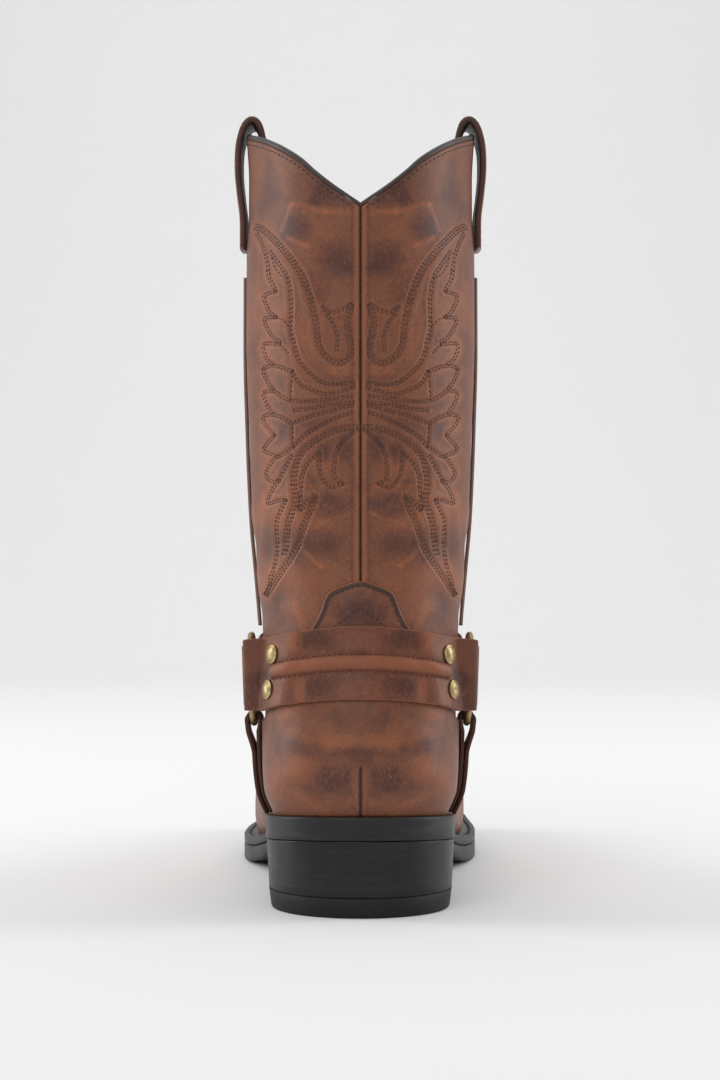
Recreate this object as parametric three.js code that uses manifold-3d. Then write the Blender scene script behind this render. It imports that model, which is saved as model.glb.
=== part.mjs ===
// A left harness boot: a tall pull-on leather boot on a stacked heel, with a square toe, a dipped
// collar, two pull straps, and a harness of straps and rings round the ankle.
// Millimetres. +Z is up, +Y points to the toe and +X to the inner (medial) side of the left foot.
// The group's origin is the centre of the heel on the floor.
import * as THREE from "three";
import { mergeVertices } from "three/addons/utils/BufferGeometryUtils.js";
import Module from "manifold-3d";

const wasm = await Module();
wasm.setup();

// Driving sizes of the last and the upper
const FOOT_LENGTH = 300; // heel back to toe, over the shaft leather
const BALL_WIDTH = 94.6; // shaft leather across the ball, under the vamp
const SEAT_HEIGHT = 39.9; // top of the sole at the heel's back
const BALL_SEAT = 12.3; // top of the sole at the ball
const TOE_SPRING = 7; // lift of the sole's tip
const ANKLE_HEIGHT = 160; // the narrow of the leg, at the front
const COLLAR_HEIGHT = 312.6; // the collar's peak, at the pull straps
const COLLAR_DIP = 36.4; // drop from the peak to the front and back notches
const SHAFT_WIDTH = 94; // across the shaft
const SHAFT_DEPTH = 138; // front to back at the collar
const WALL = 2.4; // shaft leather with its lining
const OVERLAY = 1; // vamp and counter leather
const GAP = 0.3; // clearance between pieces
const MARGIN = 9; // leather turned in under the last
const WIDEST_OVER_SEAT = 9; // the forefoot is widest this far over the sole
const SEAM_FOLD = 2.6; // each folded edge of the back seam, across
const SEAM_RISE = 0.7; // how far it stands out of the shaft leather
const SEAM_GROOVE = 0.7; // between the two folded edges
const TAB_HEIGHT = 131; // the peak of the counter's tab
const COUNTER_HEIGHT = 73; // the counter at the sides of the heel
const SIDE_SEAM_HEIGHT = 68; // where the counter, the vamp and the shaft meet

// Driving sizes of the bottom
const HEEL_LENGTH = 75; // back to breast
const WELT_HEIGHT = 4.2;
const WELT_REACH = 7.9; // beyond the shaft leather, at the ball
const SEAT_REACH = 4.6; // the same, round the heel
const WELT_WIDTH = 20; // outer edge to inner edge
const LIFT_HEIGHT = 7.8; // rubber top lift
const SEAT_LAYER = 9.5; // sole thickness over the heel
const HEEL_TAPER = 2.1; // drawn in from the sole's edge to the floor
const EDGE_BEVEL = 1.2;
const INSOLE_HEIGHT = 3;

// Driving sizes of the harness, the straps and the trims
const RING_HEIGHT = 90.2; // ring centre over the floor
const RING_ALONG = 56; // ring centre from the heel's back
const RING_RADIUS = 17.9; // to the wire's centre
const RING_WIRE = 1.4; // wire radius
const RING_LEAN = 0.035; // outward lean of the ring's top, as a slope
const STRAP_LEATHER = 1.2;
const HEEL_STRAP_WIDTH = 29;
const INSTEP_STRAP_WIDTH = 25.6;
const STRAP_NECK = 25.2; // both straps at the ring
const STRAP_OVER = 1; // their middle over the ring's centre
const HEEL_STRAP_RISE = 7.6; // how much higher the strap sits at the back
const INSTEP_STRAP_RISE = 24;
const STIRRUP_WIDTH = 21;
const STIRRUP_NECK = 14; // where it passes round the ring
const STIRRUP_LEAN = 22; // its foot stands this far ahead of the ring's centre
const STIRRUP_FOOT = 2.6; // its end over the sole
const BEAD_WIDTH = 5.2; // stuffed bead along the heel strap
const BEAD_REACH = 31; // half its length across the back
const BEAD_RISE = 1.9;
const RIVET_RADIUS = 3.9;
const RIVET_SPACING = 13.9;
const RIVET_RISE = 1.5;
const PULL_WIDTH = 26;
const PULL_LEATHER = 2.5;
const PULL_RISE = 7.9; // the loop's top over the collar's peak
const PULL_DROP = 53.5; // from the loop's top to its sewn ends
const PIPING = 1.5;
const COLLAR_BEAD = 1.5;

// How finely the leather is faceted
const AROUND = 38; // points round a ring
const LOW_LEVEL = 60; // first level ring; lower rings follow the sole
const HIGH_LEVEL = 262; // last level ring; higher rings follow the collar

// The front of the boot from the side: shares of the foot's length, and of the rise from toe to ankle.
const FRONT_PROFILE = [
  { along: 0.997, up: 0 },
  { along: 1.003, up: 0.055 },
  { along: 1.0, up: 0.12 },
  { along: 0.985, up: 0.176 },
  { along: 0.96, up: 0.215 },
  { along: 0.917, up: 0.248 },
  { along: 0.847, up: 0.292 },
  { along: 0.747, up: 0.362 },
  { along: 0.64, up: 0.455 },
  { along: 0.543, up: 0.574 },
  { along: 0.477, up: 0.702 },
  { along: 0.43, up: 0.844 },
  { along: 0.41, up: 1 },
];

// The heel and the leg: up is a share of the rise from the seat to the collar's peak; back, middle
// and front are shares of the shaft's depth; half is a share of half the shaft's width.
const LEG_PROFILE = [
  { up: 0, back: 0.033, middle: 0.3, half: 0.713 },
  { up: 0.037, back: 0.021, middle: 0.31, half: 0.8 },
  { up: 0.074, back: 0.017, middle: 0.33, half: 0.817 },
  { up: 0.129, back: 0.025, middle: 0.36, half: 0.823 },
  { up: 0.202, back: 0.051, middle: 0.4, half: 0.83 },
  { up: 0.272, back: 0.072, middle: 0.45, half: 0.862 },
  { up: 0.349, back: 0.076, middle: 0.475, half: 0.905 },
  { up: 0.426, back: 0.069, middle: 0.48, half: 0.945 },
  { up: 0.543, back: 0.051, middle: 0.482, front: 0.906, half: 0.977 },
  { up: 0.693, back: 0.029, middle: 0.484, front: 0.935, half: 1 },
  { up: 0.814, back: 0.014, middle: 0.486, front: 0.96, half: 1 },
  { up: 0.88, back: 0.007, middle: 0.487, front: 0.971, half: 0.979 },
  { up: 0.935, back: 0, middle: 0.488, front: 0.98, half: 0.979 },
  { up: 1, back: -0.007, middle: 0.49, front: 0.993, half: 1 },
];

// The forefoot from above: along is a share of the foot's length, inner and outer are shares of half
// the ball's width, fullness is the arch's exponent, tuck the draw-in at the sole's edge.
const FOREFOOT_PLAN = [
  { along: 0.2, inner: 0.82, outer: 0.82, fullness: 2.2, tuck: 0.12 },
  { along: 0.3, inner: 0.81, outer: 0.815, fullness: 2.1, tuck: 0.13 },
  { along: 0.4, inner: 0.815, outer: 0.83, fullness: 1.95, tuck: 0.13 },
  { along: 0.5, inner: 0.875, outer: 0.91, fullness: 1.95, tuck: 0.09 },
  { along: 0.58, inner: 0.945, outer: 0.98, fullness: 2.05, tuck: 0.05 },
  { along: 0.64, inner: 0.985, outer: 1, fullness: 2.15, tuck: 0.03 },
  { along: 0.7, inner: 1, outer: 0.985, fullness: 2.25, tuck: 0.03 },
  { along: 0.78, inner: 0.98, outer: 0.92, fullness: 2.4, tuck: 0.03 },
  { along: 0.86, inner: 0.925, outer: 0.82, fullness: 2.6, tuck: 0.03 },
  { along: 0.92, inner: 0.85, outer: 0.71, fullness: 2.8, tuck: 0.03 },
  { along: 0.96, inner: 0.765, outer: 0.585, fullness: 3, tuck: 0.03 },
  { along: 0.985, inner: 0.665, outer: 0.46, fullness: 3.1, tuck: 0.03 },
  { along: 0.996, inner: 0.56, outer: 0.35, fullness: 3.2, tuck: 0.03 },
  { along: 1.001, inner: 0.41, outer: 0.2, fullness: 3.2, tuck: 0.03 },
  { along: 1.0033, inner: 0.105, outer: -0.105, fullness: 3.2, tuck: 0.03 },
];

// The sole's side view: along is a share of the foot's length; seat and tread are shares of the drop
// from the heel's seat to the ball's; spring is a share of the toe spring.
const SOLE_PROFILE = [
  { along: 0, seat: 1, tread: 1, spring: 0 },
  { along: 0.127, seat: 0.884, tread: 0.895, spring: 0 },
  { along: 0.25, seat: 0.757, tread: 0.78, spring: 0 },
  { along: 0.32, seat: 0.615, tread: 0.655, spring: 0 },
  { along: 0.4, seat: 0.392, tread: 0.45, spring: 0 },
  { along: 0.48, seat: 0.152, tread: 0.2, spring: 0 },
  { along: 0.55, seat: 0.03, tread: 0.045, spring: 0 },
  { along: 0.6, seat: 0, tread: 0, spring: 0 },
  { along: 0.78, seat: 0, tread: 0, spring: 0 },
  { along: 0.87, seat: 0, tread: 0, spring: 0.26 },
  { along: 1.02, seat: 0, tread: 0, spring: 1 },
];

// The collar's edge from the back: across is a share of half the shaft's width, up a share of the
// collar's dip
const COLLAR_PROFILE = [
  { across: 0, up: 0 },
  { across: 0.12, up: 0.1 },
  { across: 0.224, up: 0.19 },
  { across: 0.396, up: 0.362 },
  { across: 0.512, up: 0.5 },
  { across: 0.659, up: 0.64 },
  { across: 0.812, up: 0.772 },
  { across: 0.92, up: 0.865 },
  { across: 0.985, up: 0.945 },
  { across: 1, up: 1 },
];

const lerp = (a, b, t) => a + (b - a) * t;
const clamp = (v, low, high) => Math.min(high, Math.max(low, v));
const ease = (v, from, to) => {
  const t = clamp((v - from) / (to - from), 0, 1);
  return t * t * (3 - 2 * t);
};

// A smooth curve through [place, value] pairs that never overshoots between them
function smoothCurve(pairs) {
  const x = pairs.map((p) => p[0]);
  const y = pairs.map((p) => p[1]);
  const slope = x.slice(1).map((v, i) => (y[i + 1] - y[i]) / (v - x[i]));
  const tangent = x.map((_, i) => {
    if (i === 0) return slope[0];
    if (i === x.length - 1) return slope[i - 1];
    const [a, b] = [slope[i - 1], slope[i]];
    return a * b <= 0 ? 0 : (2 * a * b) / (a + b);
  });
  return (v) => {
    const at = clamp(v, x[0], x[x.length - 1]);
    let i = 0;
    while (i < x.length - 2 && at > x[i + 1]) i += 1;
    const h = x[i + 1] - x[i];
    const t = (at - x[i]) / h;
    const [t2, t3] = [t * t, t * t * t];
    return (
      y[i] * (2 * t3 - 3 * t2 + 1) + h * tangent[i] * (t3 - 2 * t2 + t) +
      y[i + 1] * (3 * t2 - 2 * t3) + h * tangent[i + 1] * (t3 - t2)
    );
  };
}

// The place between low and high where a rising function reaches zero
function solve(rising, low, high) {
  let [a, b] = [low, high];
  for (let i = 0; i < 40; i += 1) {
    const m = (a + b) / 2;
    if (rising(m) > 0) b = m;
    else a = m;
  }
  return (a + b) / 2;
}

// The bottom's surfaces along the foot
const soleColumn = (key) => smoothCurve(SOLE_PROFILE.map((r) => [r.along * FOOT_LENGTH, r[key]]));
const seatShare = soleColumn("seat");
const treadShare = soleColumn("tread");
const springShare = soleColumn("spring");
const seat = (y) => BALL_SEAT + (SEAT_HEIGHT - BALL_SEAT) * seatShare(y) + TOE_SPRING * springShare(y);
const tread = (y) => (SEAT_HEIGHT - SEAT_LAYER) * treadShare(y) + TOE_SPRING * springShare(y);

// The leg's and the foot's outlines, as functions of height or of the place along the foot
const toeSeat = seat(FOOT_LENGTH);
const legHeight = (up) => lerp(SEAT_HEIGHT, COLLAR_HEIGHT, up);
const footHeight = (up) => lerp(toeSeat, ANKLE_HEIGHT, up);
const legColumn = (key, size) => {
  const rows = LEG_PROFILE.filter((r) => r[key] !== undefined);
  return smoothCurve(rows.map((r) => [legHeight(r.up), r[key] * size]));
};
const backAt = legColumn("back", SHAFT_DEPTH);
const middleAt = legColumn("middle", SHAFT_DEPTH);
const halfAt = legColumn("half", SHAFT_WIDTH / 2);
const frontAt = smoothCurve([
  ...FRONT_PROFILE.map((r) => [footHeight(r.up), r.along * FOOT_LENGTH]),
  ...LEG_PROFILE.filter((r) => r.front).map((r) => [legHeight(r.up), r.front * SHAFT_DEPTH]),
]);
const planColumn = (key, size) =>
  smoothCurve(FOREFOOT_PLAN.map((r) => [r.along * FOOT_LENGTH, r[key] * size]));
const innerAt = planColumn("inner", BALL_WIDTH / 2);
const outerAt = planColumn("outer", BALL_WIDTH / 2);
const fullnessAt = planColumn("fullness", 1);
const tuckAt = planColumn("tuck", 1);
const tip = Math.max(...FRONT_PROFILE.map((r) => r.along)) * FOOT_LENGTH;
const tipHeight = footHeight(FRONT_PROFILE[1].up);

// The height of the instep's ridge over a place along the foot
const RIDGE_STEPS = 90;
const ridgeCurve = smoothCurve(
  Array.from({ length: RIDGE_STEPS }, (_, i) => {
    const y = lerp(frontAt(ANKLE_HEIGHT) + 0.5, tip, Math.sqrt(i / (RIDGE_STEPS - 1)));
    return [y, solve((z) => y - frontAt(z), tipHeight, ANKLE_HEIGHT)];
  }),
);

// Where the leg hands over to the forefoot: shares of the foot's length and of the ankle's height
const FADE = { from: 0.31, to: 0.5, low: 0.656, high: 0.9375 };

// Half the width at a place along the foot and a height, seen as one level slice of a leg
function legHalf(y, z) {
  const overSeat = clamp((z - seat(y)) / LOW_LEVEL, 0, 1);
  const level = z - (seat(y) - SEAT_HEIGHT) * (1 - overSeat);
  const middle = middleAt(z);
  const reach = y < middle ? middle - backAt(z) : frontAt(z) - middle;
  const from = clamp(Math.abs(y - middle) / reach, 0, 1);
  return halfAt(level) * Math.pow(1 - Math.pow(from, 2.2), 1 / 2.1);
}

// The same, seen as one upright section of a foot
function footHalf(y, z) {
  const nose = Math.max(0, tip - frontAt(Math.min(z, tipHeight))) * ease(y, tip - 40, tip);
  const at = Math.min(tip, y + (z < tipHeight ? nose : 0));
  const wide = (innerAt(at) + outerAt(at)) / 2;
  const widest = Math.min(seat(y) + WIDEST_OVER_SEAT, ridgeCurve(y) - 1);
  if (z <= widest) {
    const under = clamp((widest - z) / WIDEST_OVER_SEAT, 0, 1);
    return wide * (1 - tuckAt(y) * under * under);
  }
  const up = clamp((z - widest) / (ridgeCurve(y) - widest), 0, 1);
  return wide * Math.pow(1 - Math.pow(up, fullnessAt(y)), 1 / 2.1);
}

// Half the boot's width, and the side shift of its middle
function halfWidth(y, z) {
  const ahead = ease(y, FADE.from * FOOT_LENGTH, FADE.to * FOOT_LENGTH);
  const foot = ahead * (1 - ease(z, FADE.low * ANKLE_HEIGHT, FADE.high * ANKLE_HEIGHT));
  return lerp(legHalf(y, z), foot > 0 ? footHalf(y, z) : 0, foot);
}
const shiftAt = (y) => ((innerAt(y) - outerAt(y)) / 2) * ease(y, 0.3 * FOOT_LENGTH, 0.5 * FOOT_LENGTH);

// A ring of the upper. Level 0 to 1 rises from the sole, 1 to 2 is level, 2 to 3 rises to the collar.
const ringCache = new Map();
function ring(level) {
  if (ringCache.has(level)) return ringCache.get(level);
  const low = clamp(level, 0, 1);
  const plain = lerp(LOW_LEVEL, HIGH_LEVEL, clamp(level - 1, 0, 1));
  const height = (y) => (level < 1 ? lerp(seat(y), LOW_LEVEL, low) : plain);
  let [back, front] = [backAt(height(0)), frontAt(height(tip))];
  for (let i = 0; i < 40; i += 1) {
    back = backAt(height(back));
    front = lerp(front, frontAt(height(front)), 0.6);
  }
  const made = { height, back, front, rise: clamp(level - 2, 0, 1) };
  ringCache.set(level, made);
  return made;
}
const share = (turn) => lerp(turn / Math.PI, (1 - Math.cos(turn)) / 2, 0.86);

// The height of the collar's edge at an angle
const collarShare = smoothCurve(COLLAR_PROFILE.map((r) => [r.across, r.up]));
function collarEdge(turn) {
  const along = lerp(backAt(HIGH_LEVEL), frontAt(HIGH_LEVEL), share(turn));
  const across = halfWidth(along, HIGH_LEVEL) / halfAt(HIGH_LEVEL);
  return COLLAR_HEIGHT - COLLAR_DIP * (1 - collarShare(across));
}

// A point of the shaft leather. The angle runs from 0 at the back, by the inner side, to PI in front.
function plainPoint(level, angle) {
  const turn = Math.abs(Math.atan2(Math.sin(angle), Math.cos(angle)));
  const side = Math.sin(angle) < 0 ? -1 : 1;
  const r = ring(level);
  const along = lerp(r.back, r.front, share(turn));
  if (r.rise === 0) {
    const z = r.height(along);
    const half = turn < 1e-9 || turn > Math.PI - 1e-9 ? 0 : halfWidth(along, z);
    return new THREE.Vector3(shiftAt(along) + side * half, along, z);
  }
  const z = lerp(HIGH_LEVEL, collarEdge(turn), r.rise);
  const y = lerp(backAt(z), frontAt(z), share(turn));
  return new THREE.Vector3(turn < 1e-9 || turn > Math.PI - 1e-9 ? 0 : side * halfWidth(y, z), y, z);
}
function outward(level, angle) {
  const h = 1e-3;
  const up = plainPoint(Math.min(3, level + h), angle).sub(plainPoint(Math.max(0, level - h), angle));
  const round = plainPoint(level, angle + h).sub(plainPoint(level, angle - h));
  return round.cross(up).normalize();
}
const skin = (level, angle, offset) =>
  plainPoint(level, angle).addScaledVector(outward(level, angle), offset);
const levelOf = (z) => 1 + (z - LOW_LEVEL) / (HIGH_LEVEL - LOW_LEVEL);
const skinAt = (z, angle, offset) => skin(levelOf(z), angle, offset);
const angleOf = (y, z) => {
  const r = ring(levelOf(z));
  return solve((turn) => lerp(r.back, r.front, share(turn)) - y, 0, Math.PI);
};

// Closed solids from rows of points: capped at both ends, or joined into a loop
function capTriangles(start, n, flip) {
  const out = [];
  const put = (a, b, c) => out.push(start + a, start + (flip ? c : b), start + (flip ? b : c));
  put(0, 1, n - 1);
  for (let k = 1; k < n - k - 1; k += 1) {
    put(k, k + 1, n - k);
    if (k + 1 < n - k - 1) put(k + 1, n - k - 1, n - k);
  }
  return out;
}
function solidOf(rows, looped = false) {
  const n = rows[0].length;
  const points = rows.flat();
  const triangles = [];
  const spans = looped ? rows.length : rows.length - 1;
  for (let r = 0; r < spans; r += 1) {
    const [low, high] = [r * n, ((r + 1) % rows.length) * n];
    for (let k = 0; k < n; k += 1) {
      const m = (k + 1) % n;
      triangles.push(low + k, low + m, high + m, low + k, high + m, high + k);
    }
  }
  if (!looped) {
    triangles.push(...capTriangles(0, n, true));
    triangles.push(...capTriangles((rows.length - 1) * n, n, false));
  }
  const loose = new THREE.BufferGeometry();
  const numbers = points.flatMap((p) => [p.x, p.y, p.z]);
  loose.setAttribute("position", new THREE.Float32BufferAttribute(numbers, 3));
  loose.setIndex(triangles);
  return manifoldOf(loose);
}
function manifoldOf(geometry) {
  const bare = geometry.clone();
  bare.deleteAttribute("normal");
  bare.deleteAttribute("uv");
  const merged = mergeVertices(bare, 1e-4);
  const p = merged.attributes.position.array;
  const kept = [];
  let volume = 0;
  for (let i = 0; i < merged.index.count; i += 3) {
    const [a, b, c] = [0, 1, 2].map((k) => merged.index.array[i + k]);
    if (a === b || b === c || c === a) continue;
    kept.push(a, b, c);
    const [u, v, w] = [a, b, c].map((k) => new THREE.Vector3().fromArray(p, 3 * k));
    volume += u.dot(v.cross(w));
  }
  if (volume < 0) kept.reverse();
  return new wasm.Manifold(
    new wasm.Mesh({ numProp: 3, vertProperties: new Float32Array(p), triVerts: new Uint32Array(kept) }),
  );
}
function geometryOf(solid) {
  const mesh = solid.getMesh();
  const geometry = new THREE.BufferGeometry();
  geometry.setAttribute("position", new THREE.BufferAttribute(new Float32Array(mesh.vertProperties), 3));
  geometry.setIndex(new THREE.BufferAttribute(new Uint32Array(mesh.triVerts), 1));
  return geometry;
}
const angles = Array.from({ length: AROUND }, (_, k) => (2 * Math.PI * k) / AROUND);
const ringRow = (level, offset) => angles.map((angle) => skin(level, angle, offset));

// A flat prism of an outline, drawn from the side (y, z) or from the back (x, z)
function prism(outline, from, to, view) {
  const shape = new THREE.Shape(outline.map(([a, b]) => new THREE.Vector2(a, b)));
  const solid = new THREE.ExtrudeGeometry(shape, { depth: to - from, bevelEnabled: false });
  solid.translate(0, 0, from);
  const axes = { side: [[0, 1, 0], [0, 0, 1], [1, 0, 0]], back: [[1, 0, 0], [0, 0, 1], [0, -1, 0]] }[view];
  solid.applyMatrix4(new THREE.Matrix4().makeBasis(...axes.map((a) => new THREE.Vector3(...a))));
  return manifoldOf(solid);
}

// Levels of the rings, close together over the toe and the instep
const LOW_RINGS = [0.07, 0.18, 0.34, 0.53, 0.7, 0.82, 0.92];
const FOOT_HEIGHTS = [LOW_LEVEL, 68, 79, 91, 104, 118, 134];
const SHAFT_HEIGHTS = [152, 180, 220, HIGH_LEVEL];
const footLevels = [...LOW_RINGS, ...FOOT_HEIGHTS.map(levelOf)];
const bootLevels = [...footLevels, ...SHAFT_HEIGHTS.map(levelOf), 2.5, 3];

// The footprint of the leather on the sole, let out or drawn in by a reach that may vary along it
function footprint(angle, reach) {
  const h = 1e-3;
  const at = plainPoint(0, angle);
  const round = plainPoint(0, angle + h).sub(plainPoint(0, angle - h));
  const normal = new THREE.Vector3(round.y, -round.x, 0).normalize();
  return at.addScaledVector(normal, typeof reach === "function" ? reach(at.y) : reach);
}
const footprintRow = (reach, height) =>
  angles.map((angle) => {
    const p = footprint(angle, reach);
    return p.setZ(height(p.y));
  });

// A plate under the foot, with a bevel top and bottom
function plate(reach, low, high, bevel = 0) {
  const inset = (by) => (y) => (typeof reach === "function" ? reach(y) : reach) - by;
  const rows = bevel
    ? [
        footprintRow(inset(bevel), low),
        footprintRow(inset(0), (y) => low(y) + bevel),
        footprintRow(inset(0), (y) => high(y) - bevel / 2),
        footprintRow(inset(bevel / 2), high),
      ]
    : [footprintRow(inset(0), low), footprintRow(inset(0), high)];
  return solidOf(rows);
}

// A strip laid on the leather along a path of levels and angles
function strip(path, halfWide, bottom, top) {
  const rows = path.map(({ level, angle }) => {
    const h = 0.01;
    const run = plainPoint(level, angle + h).distanceTo(plainPoint(level, angle - h)) / (2 * h);
    const reach = halfWide / run;
    return [
      skin(level, angle - reach, bottom),
      skin(level, angle - reach * 0.55, top),
      skin(level, angle + reach * 0.55, top),
      skin(level, angle + reach, bottom),
    ];
  });
  return solidOf(rows);
}

// The back seam: two folded edges with a groove between them, from the counter's tab to the collar
function makeBackSeam() {
  const steps = 8;
  const low = levelOf(TAB_HEIGHT + GAP);
  const across = SEAM_GROOVE / 2 + SEAM_FOLD / 2;
  const edge = (side) =>
    strip(
      Array.from({ length: steps + 1 }, (_, i) => {
        const level = lerp(low, 3, i / steps);
        const h = 0.01;
        const run = plainPoint(level, h).distanceTo(plainPoint(level, -h)) / (2 * h);
        return { level, angle: (side * across) / run };
      }),
      SEAM_FOLD / 2,
      -WALL / 2,
      SEAM_RISE,
    );
  return edge(-1).add(edge(1));
}

// The upper: one hollow wall from the turned-in margin to the collar, open below and at the top
function makeUpper() {
  const rows = [
    footprintRow(-MARGIN, seat),
    footprintRow(0, seat),
    ...bootLevels.map((level) => ringRow(level, 0)),
    ...bootLevels.slice().reverse().map((level) => ringRow(level, -WALL)),
    footprintRow(-WALL, (y) => seat(y) + WALL),
    footprintRow(-MARGIN, (y) => seat(y) + WALL),
  ];
  return solidOf(rows, true).add(makeBackSeam());
}

// A solid form of the foot, let out by an offset, from which overlays are cut
function footForm(offset, drop) {
  return solidOf([
    footprintRow(offset, (y) => seat(y) - drop),
    ...footLevels.map((level) => ringRow(level, offset)),
    ringRow(levelOf(SHAFT_HEIGHTS[0]), offset),
  ]);
}
const overlayForm = footForm(GAP + OVERLAY, 0).subtract(footForm(GAP, 2));

// Where the counter meets the vamp along the foot, at the sole and at the top
const SIDE_SEAM = { foot: 0.335, top: 0.3 };
const seamFoot = SIDE_SEAM.foot * FOOT_LENGTH;
const seamTop = SIDE_SEAM.top * FOOT_LENGTH;
const FAR = 400;

// The peaked tab over the heel, from the back: shares of the heel's half width, and of the tab's
// height over the side seam
const TAB_PROFILE = [
  { across: 0, up: 1 },
  { across: 0.335, up: 0.9 },
  { across: 0.46, up: 0.71 },
  { across: 0.68, up: 0.45 },
  { across: 0.9, up: 0.2 },
  { across: 1.2, up: -0.1 },
];
function makeCounter() {
  const outline = [
    [-FAR, -FAR],
    [seamFoot, -FAR],
    [seamFoot, 0],
    [seamTop, SIDE_SEAM_HEIGHT],
    [seamTop / 2, COUNTER_HEIGHT],
    [-FAR, COUNTER_HEIGHT],
  ];
  const side = prism(outline, -FAR, FAR, "side");
  const half = halfAt(RING_HEIGHT);
  const tab = TAB_PROFILE.map(({ across, up }) => [
    across * half,
    lerp(SIDE_SEAM_HEIGHT, TAB_HEIGHT, up),
  ]);
  const mirrored = tab.slice(1).reverse().map(([x, z]) => [-x, z]);
  const tabPrism = prism([...mirrored, ...tab], -seamTop / 2, seamTop / 2, "back");
  return overlayForm.intersect(side.add(tabPrism));
}

// The vamp's top edge, from the side seam up over the instep: shares of the foot's length and of
// the ankle's height
const VAMP_EDGE = [
  { along: 0.347, up: 0.53 },
  { along: 0.383, up: 0.67 },
  { along: 0.393, up: 0.79 },
  { along: 0.38, up: 0.88 },
];
function makeVamp() {
  const top = VAMP_EDGE.map(({ along, up }) => [along * FOOT_LENGTH, up * ANKLE_HEIGHT]);
  const outline = [
    [seamFoot + GAP, -FAR],
    [2 * FAR, -FAR],
    [2 * FAR, top[3][1]],
    ...top.slice().reverse(),
    [seamTop + GAP, SIDE_SEAM_HEIGHT],
    [seamFoot + GAP, 0],
  ];
  return overlayForm.intersect(prism(outline, -FAR, FAR, "side"));
}

// The collar's bead, on the leather's top edge: shares of the wall and of the bead's height
const BEAD_SECTION = [
  { inward: -0.06, up: 0 },
  { inward: -0.1, up: 0.75 },
  { inward: 0.5, up: 1 },
  { inward: 1.1, up: 0.75 },
  { inward: 1.06, up: 0 },
];
function makeCollarBead() {
  const rows = angles.map((angle) =>
    BEAD_SECTION.map(({ inward, up }) =>
      skin(3, angle, -inward * WALL).add(new THREE.Vector3(0, 0, GAP + up * COLLAR_BEAD)),
    ),
  );
  return solidOf(rows, true);
}

// How far the side seam leans to the front, as a share of the depth
const SEAM_TURN = { low: 0, high: 0.055 };
const seamAngle = (z) => {
  const lean = lerp(SEAM_TURN.low, SEAM_TURN.high, (z - RING_HEIGHT) / (COLLAR_HEIGHT - RING_HEIGHT));
  return angleOf(middleAt(z) + lean * SHAFT_DEPTH, z);
};
const pipingLow = RING_HEIGHT + RING_RADIUS + 2 * RING_WIRE + 1;
const pipingHigh = COLLAR_HEIGHT - PULL_DROP - 3;
function makeSidePiping(side) {
  const steps = 9;
  const path = Array.from({ length: steps + 1 }, (_, i) => {
    const z = lerp(pipingLow, pipingHigh, i / steps);
    return { level: levelOf(z), angle: side * seamAngle(z) };
  });
  return strip(path, PIPING, GAP, GAP + PIPING);
}

// The bottom
const soleReach = (y) => lerp(SEAT_REACH, WELT_REACH, ease(y, 0.38 * FOOT_LENGTH, 0.6 * FOOT_LENGTH));
const soleTop = (y) => seat(y) - GAP;
const weltLow = (y) => soleTop(y) - WELT_HEIGHT;
const ahead = (y) => prism([[y, -FAR], [2 * FAR, -FAR], [2 * FAR, FAR], [y, FAR]], -FAR, FAR, "side");

function makeWelt() {
  const body = plate(soleReach, weltLow, soleTop, 0.6);
  const inner = plate((y) => soleReach(y) - WELT_WIDTH, (y) => weltLow(y) - 5, (y) => soleTop(y) + 5);
  return body.subtract(inner).intersect(ahead(HEEL_LENGTH + GAP));
}
function makeOutsole() {
  const body = plate(soleReach, tread, soleTop, EDGE_BEVEL);
  const room = plate((y) => soleReach(y) + 5, (y) => weltLow(y) - GAP, (y) => soleTop(y) + 5);
  const coreReach = (y) => soleReach(y) - WELT_WIDTH - GAP;
  const core = plate(coreReach, (y) => weltLow(y) - 5, (y) => soleTop(y) + 10);
  return body.subtract(room.subtract(core).intersect(ahead(HEEL_LENGTH)));
}
function makeInsole() {
  const low = (y) => seat(y) + WALL + GAP;
  const board = plate(-WALL - 0.6, low, (y) => low(y) + INSOLE_HEIGHT);
  const filler = plate(-MARGIN - 0.5, seat, (y) => low(y) + 0.5);
  return board.add(filler);
}

// A slice of the heel: the sole's outline behind the breast, drawn in by a taper
function heelRow(taper, height, points = 12) {
  const reach = (y) => soleReach(y) - taper;
  const breast = HEEL_LENGTH - taper;
  const end = solve((angle) => footprint(angle, reach).y - breast, 0, Math.PI * 0.6);
  const row = [];
  for (let k = 0; k <= points; k += 1) row.push(footprint((end * k) / points, reach));
  for (let k = points; k >= 1; k -= 1) row.push(footprint((-end * k) / points, reach));
  return row.map((p) => p.setZ(height(p.y)));
}
const heelTop = (y) => tread(y) - GAP;
const flat = (z) => () => z;
function makeHeel() {
  return solidOf([
    heelRow(HEEL_TAPER * 0.6, flat(LIFT_HEIGHT + GAP)),
    heelRow(0.8, heelTop),
  ]);
}
function makeTopLift() {
  return solidOf([
    heelRow(HEEL_TAPER + EDGE_BEVEL, flat(0)),
    heelRow(HEEL_TAPER, flat(EDGE_BEVEL)),
    heelRow(HEEL_TAPER * 0.6, flat(LIFT_HEIGHT)),
  ]);
}

// The harness. Every strap lies on the overlays, and its ends fold round a ring and back.
const ringAngle = angleOf(RING_ALONG, RING_HEIGHT);
const onLeather = GAP + OVERLAY + GAP + 0.5; // a strap's lowest offset from the shaft leather
const twoLayers = onLeather + STRAP_LEATHER + GAP;
const ringSide = skinAt(RING_HEIGHT, ringAngle, twoLayers + RING_WIRE + 0.15).x;
const ringPlane = (z) => ringSide + RING_LEAN * (z - RING_HEIGHT);
const pocketReach = RING_RADIUS + RING_WIRE + 0.8; // along the foot, either side of the ring's centre

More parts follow.
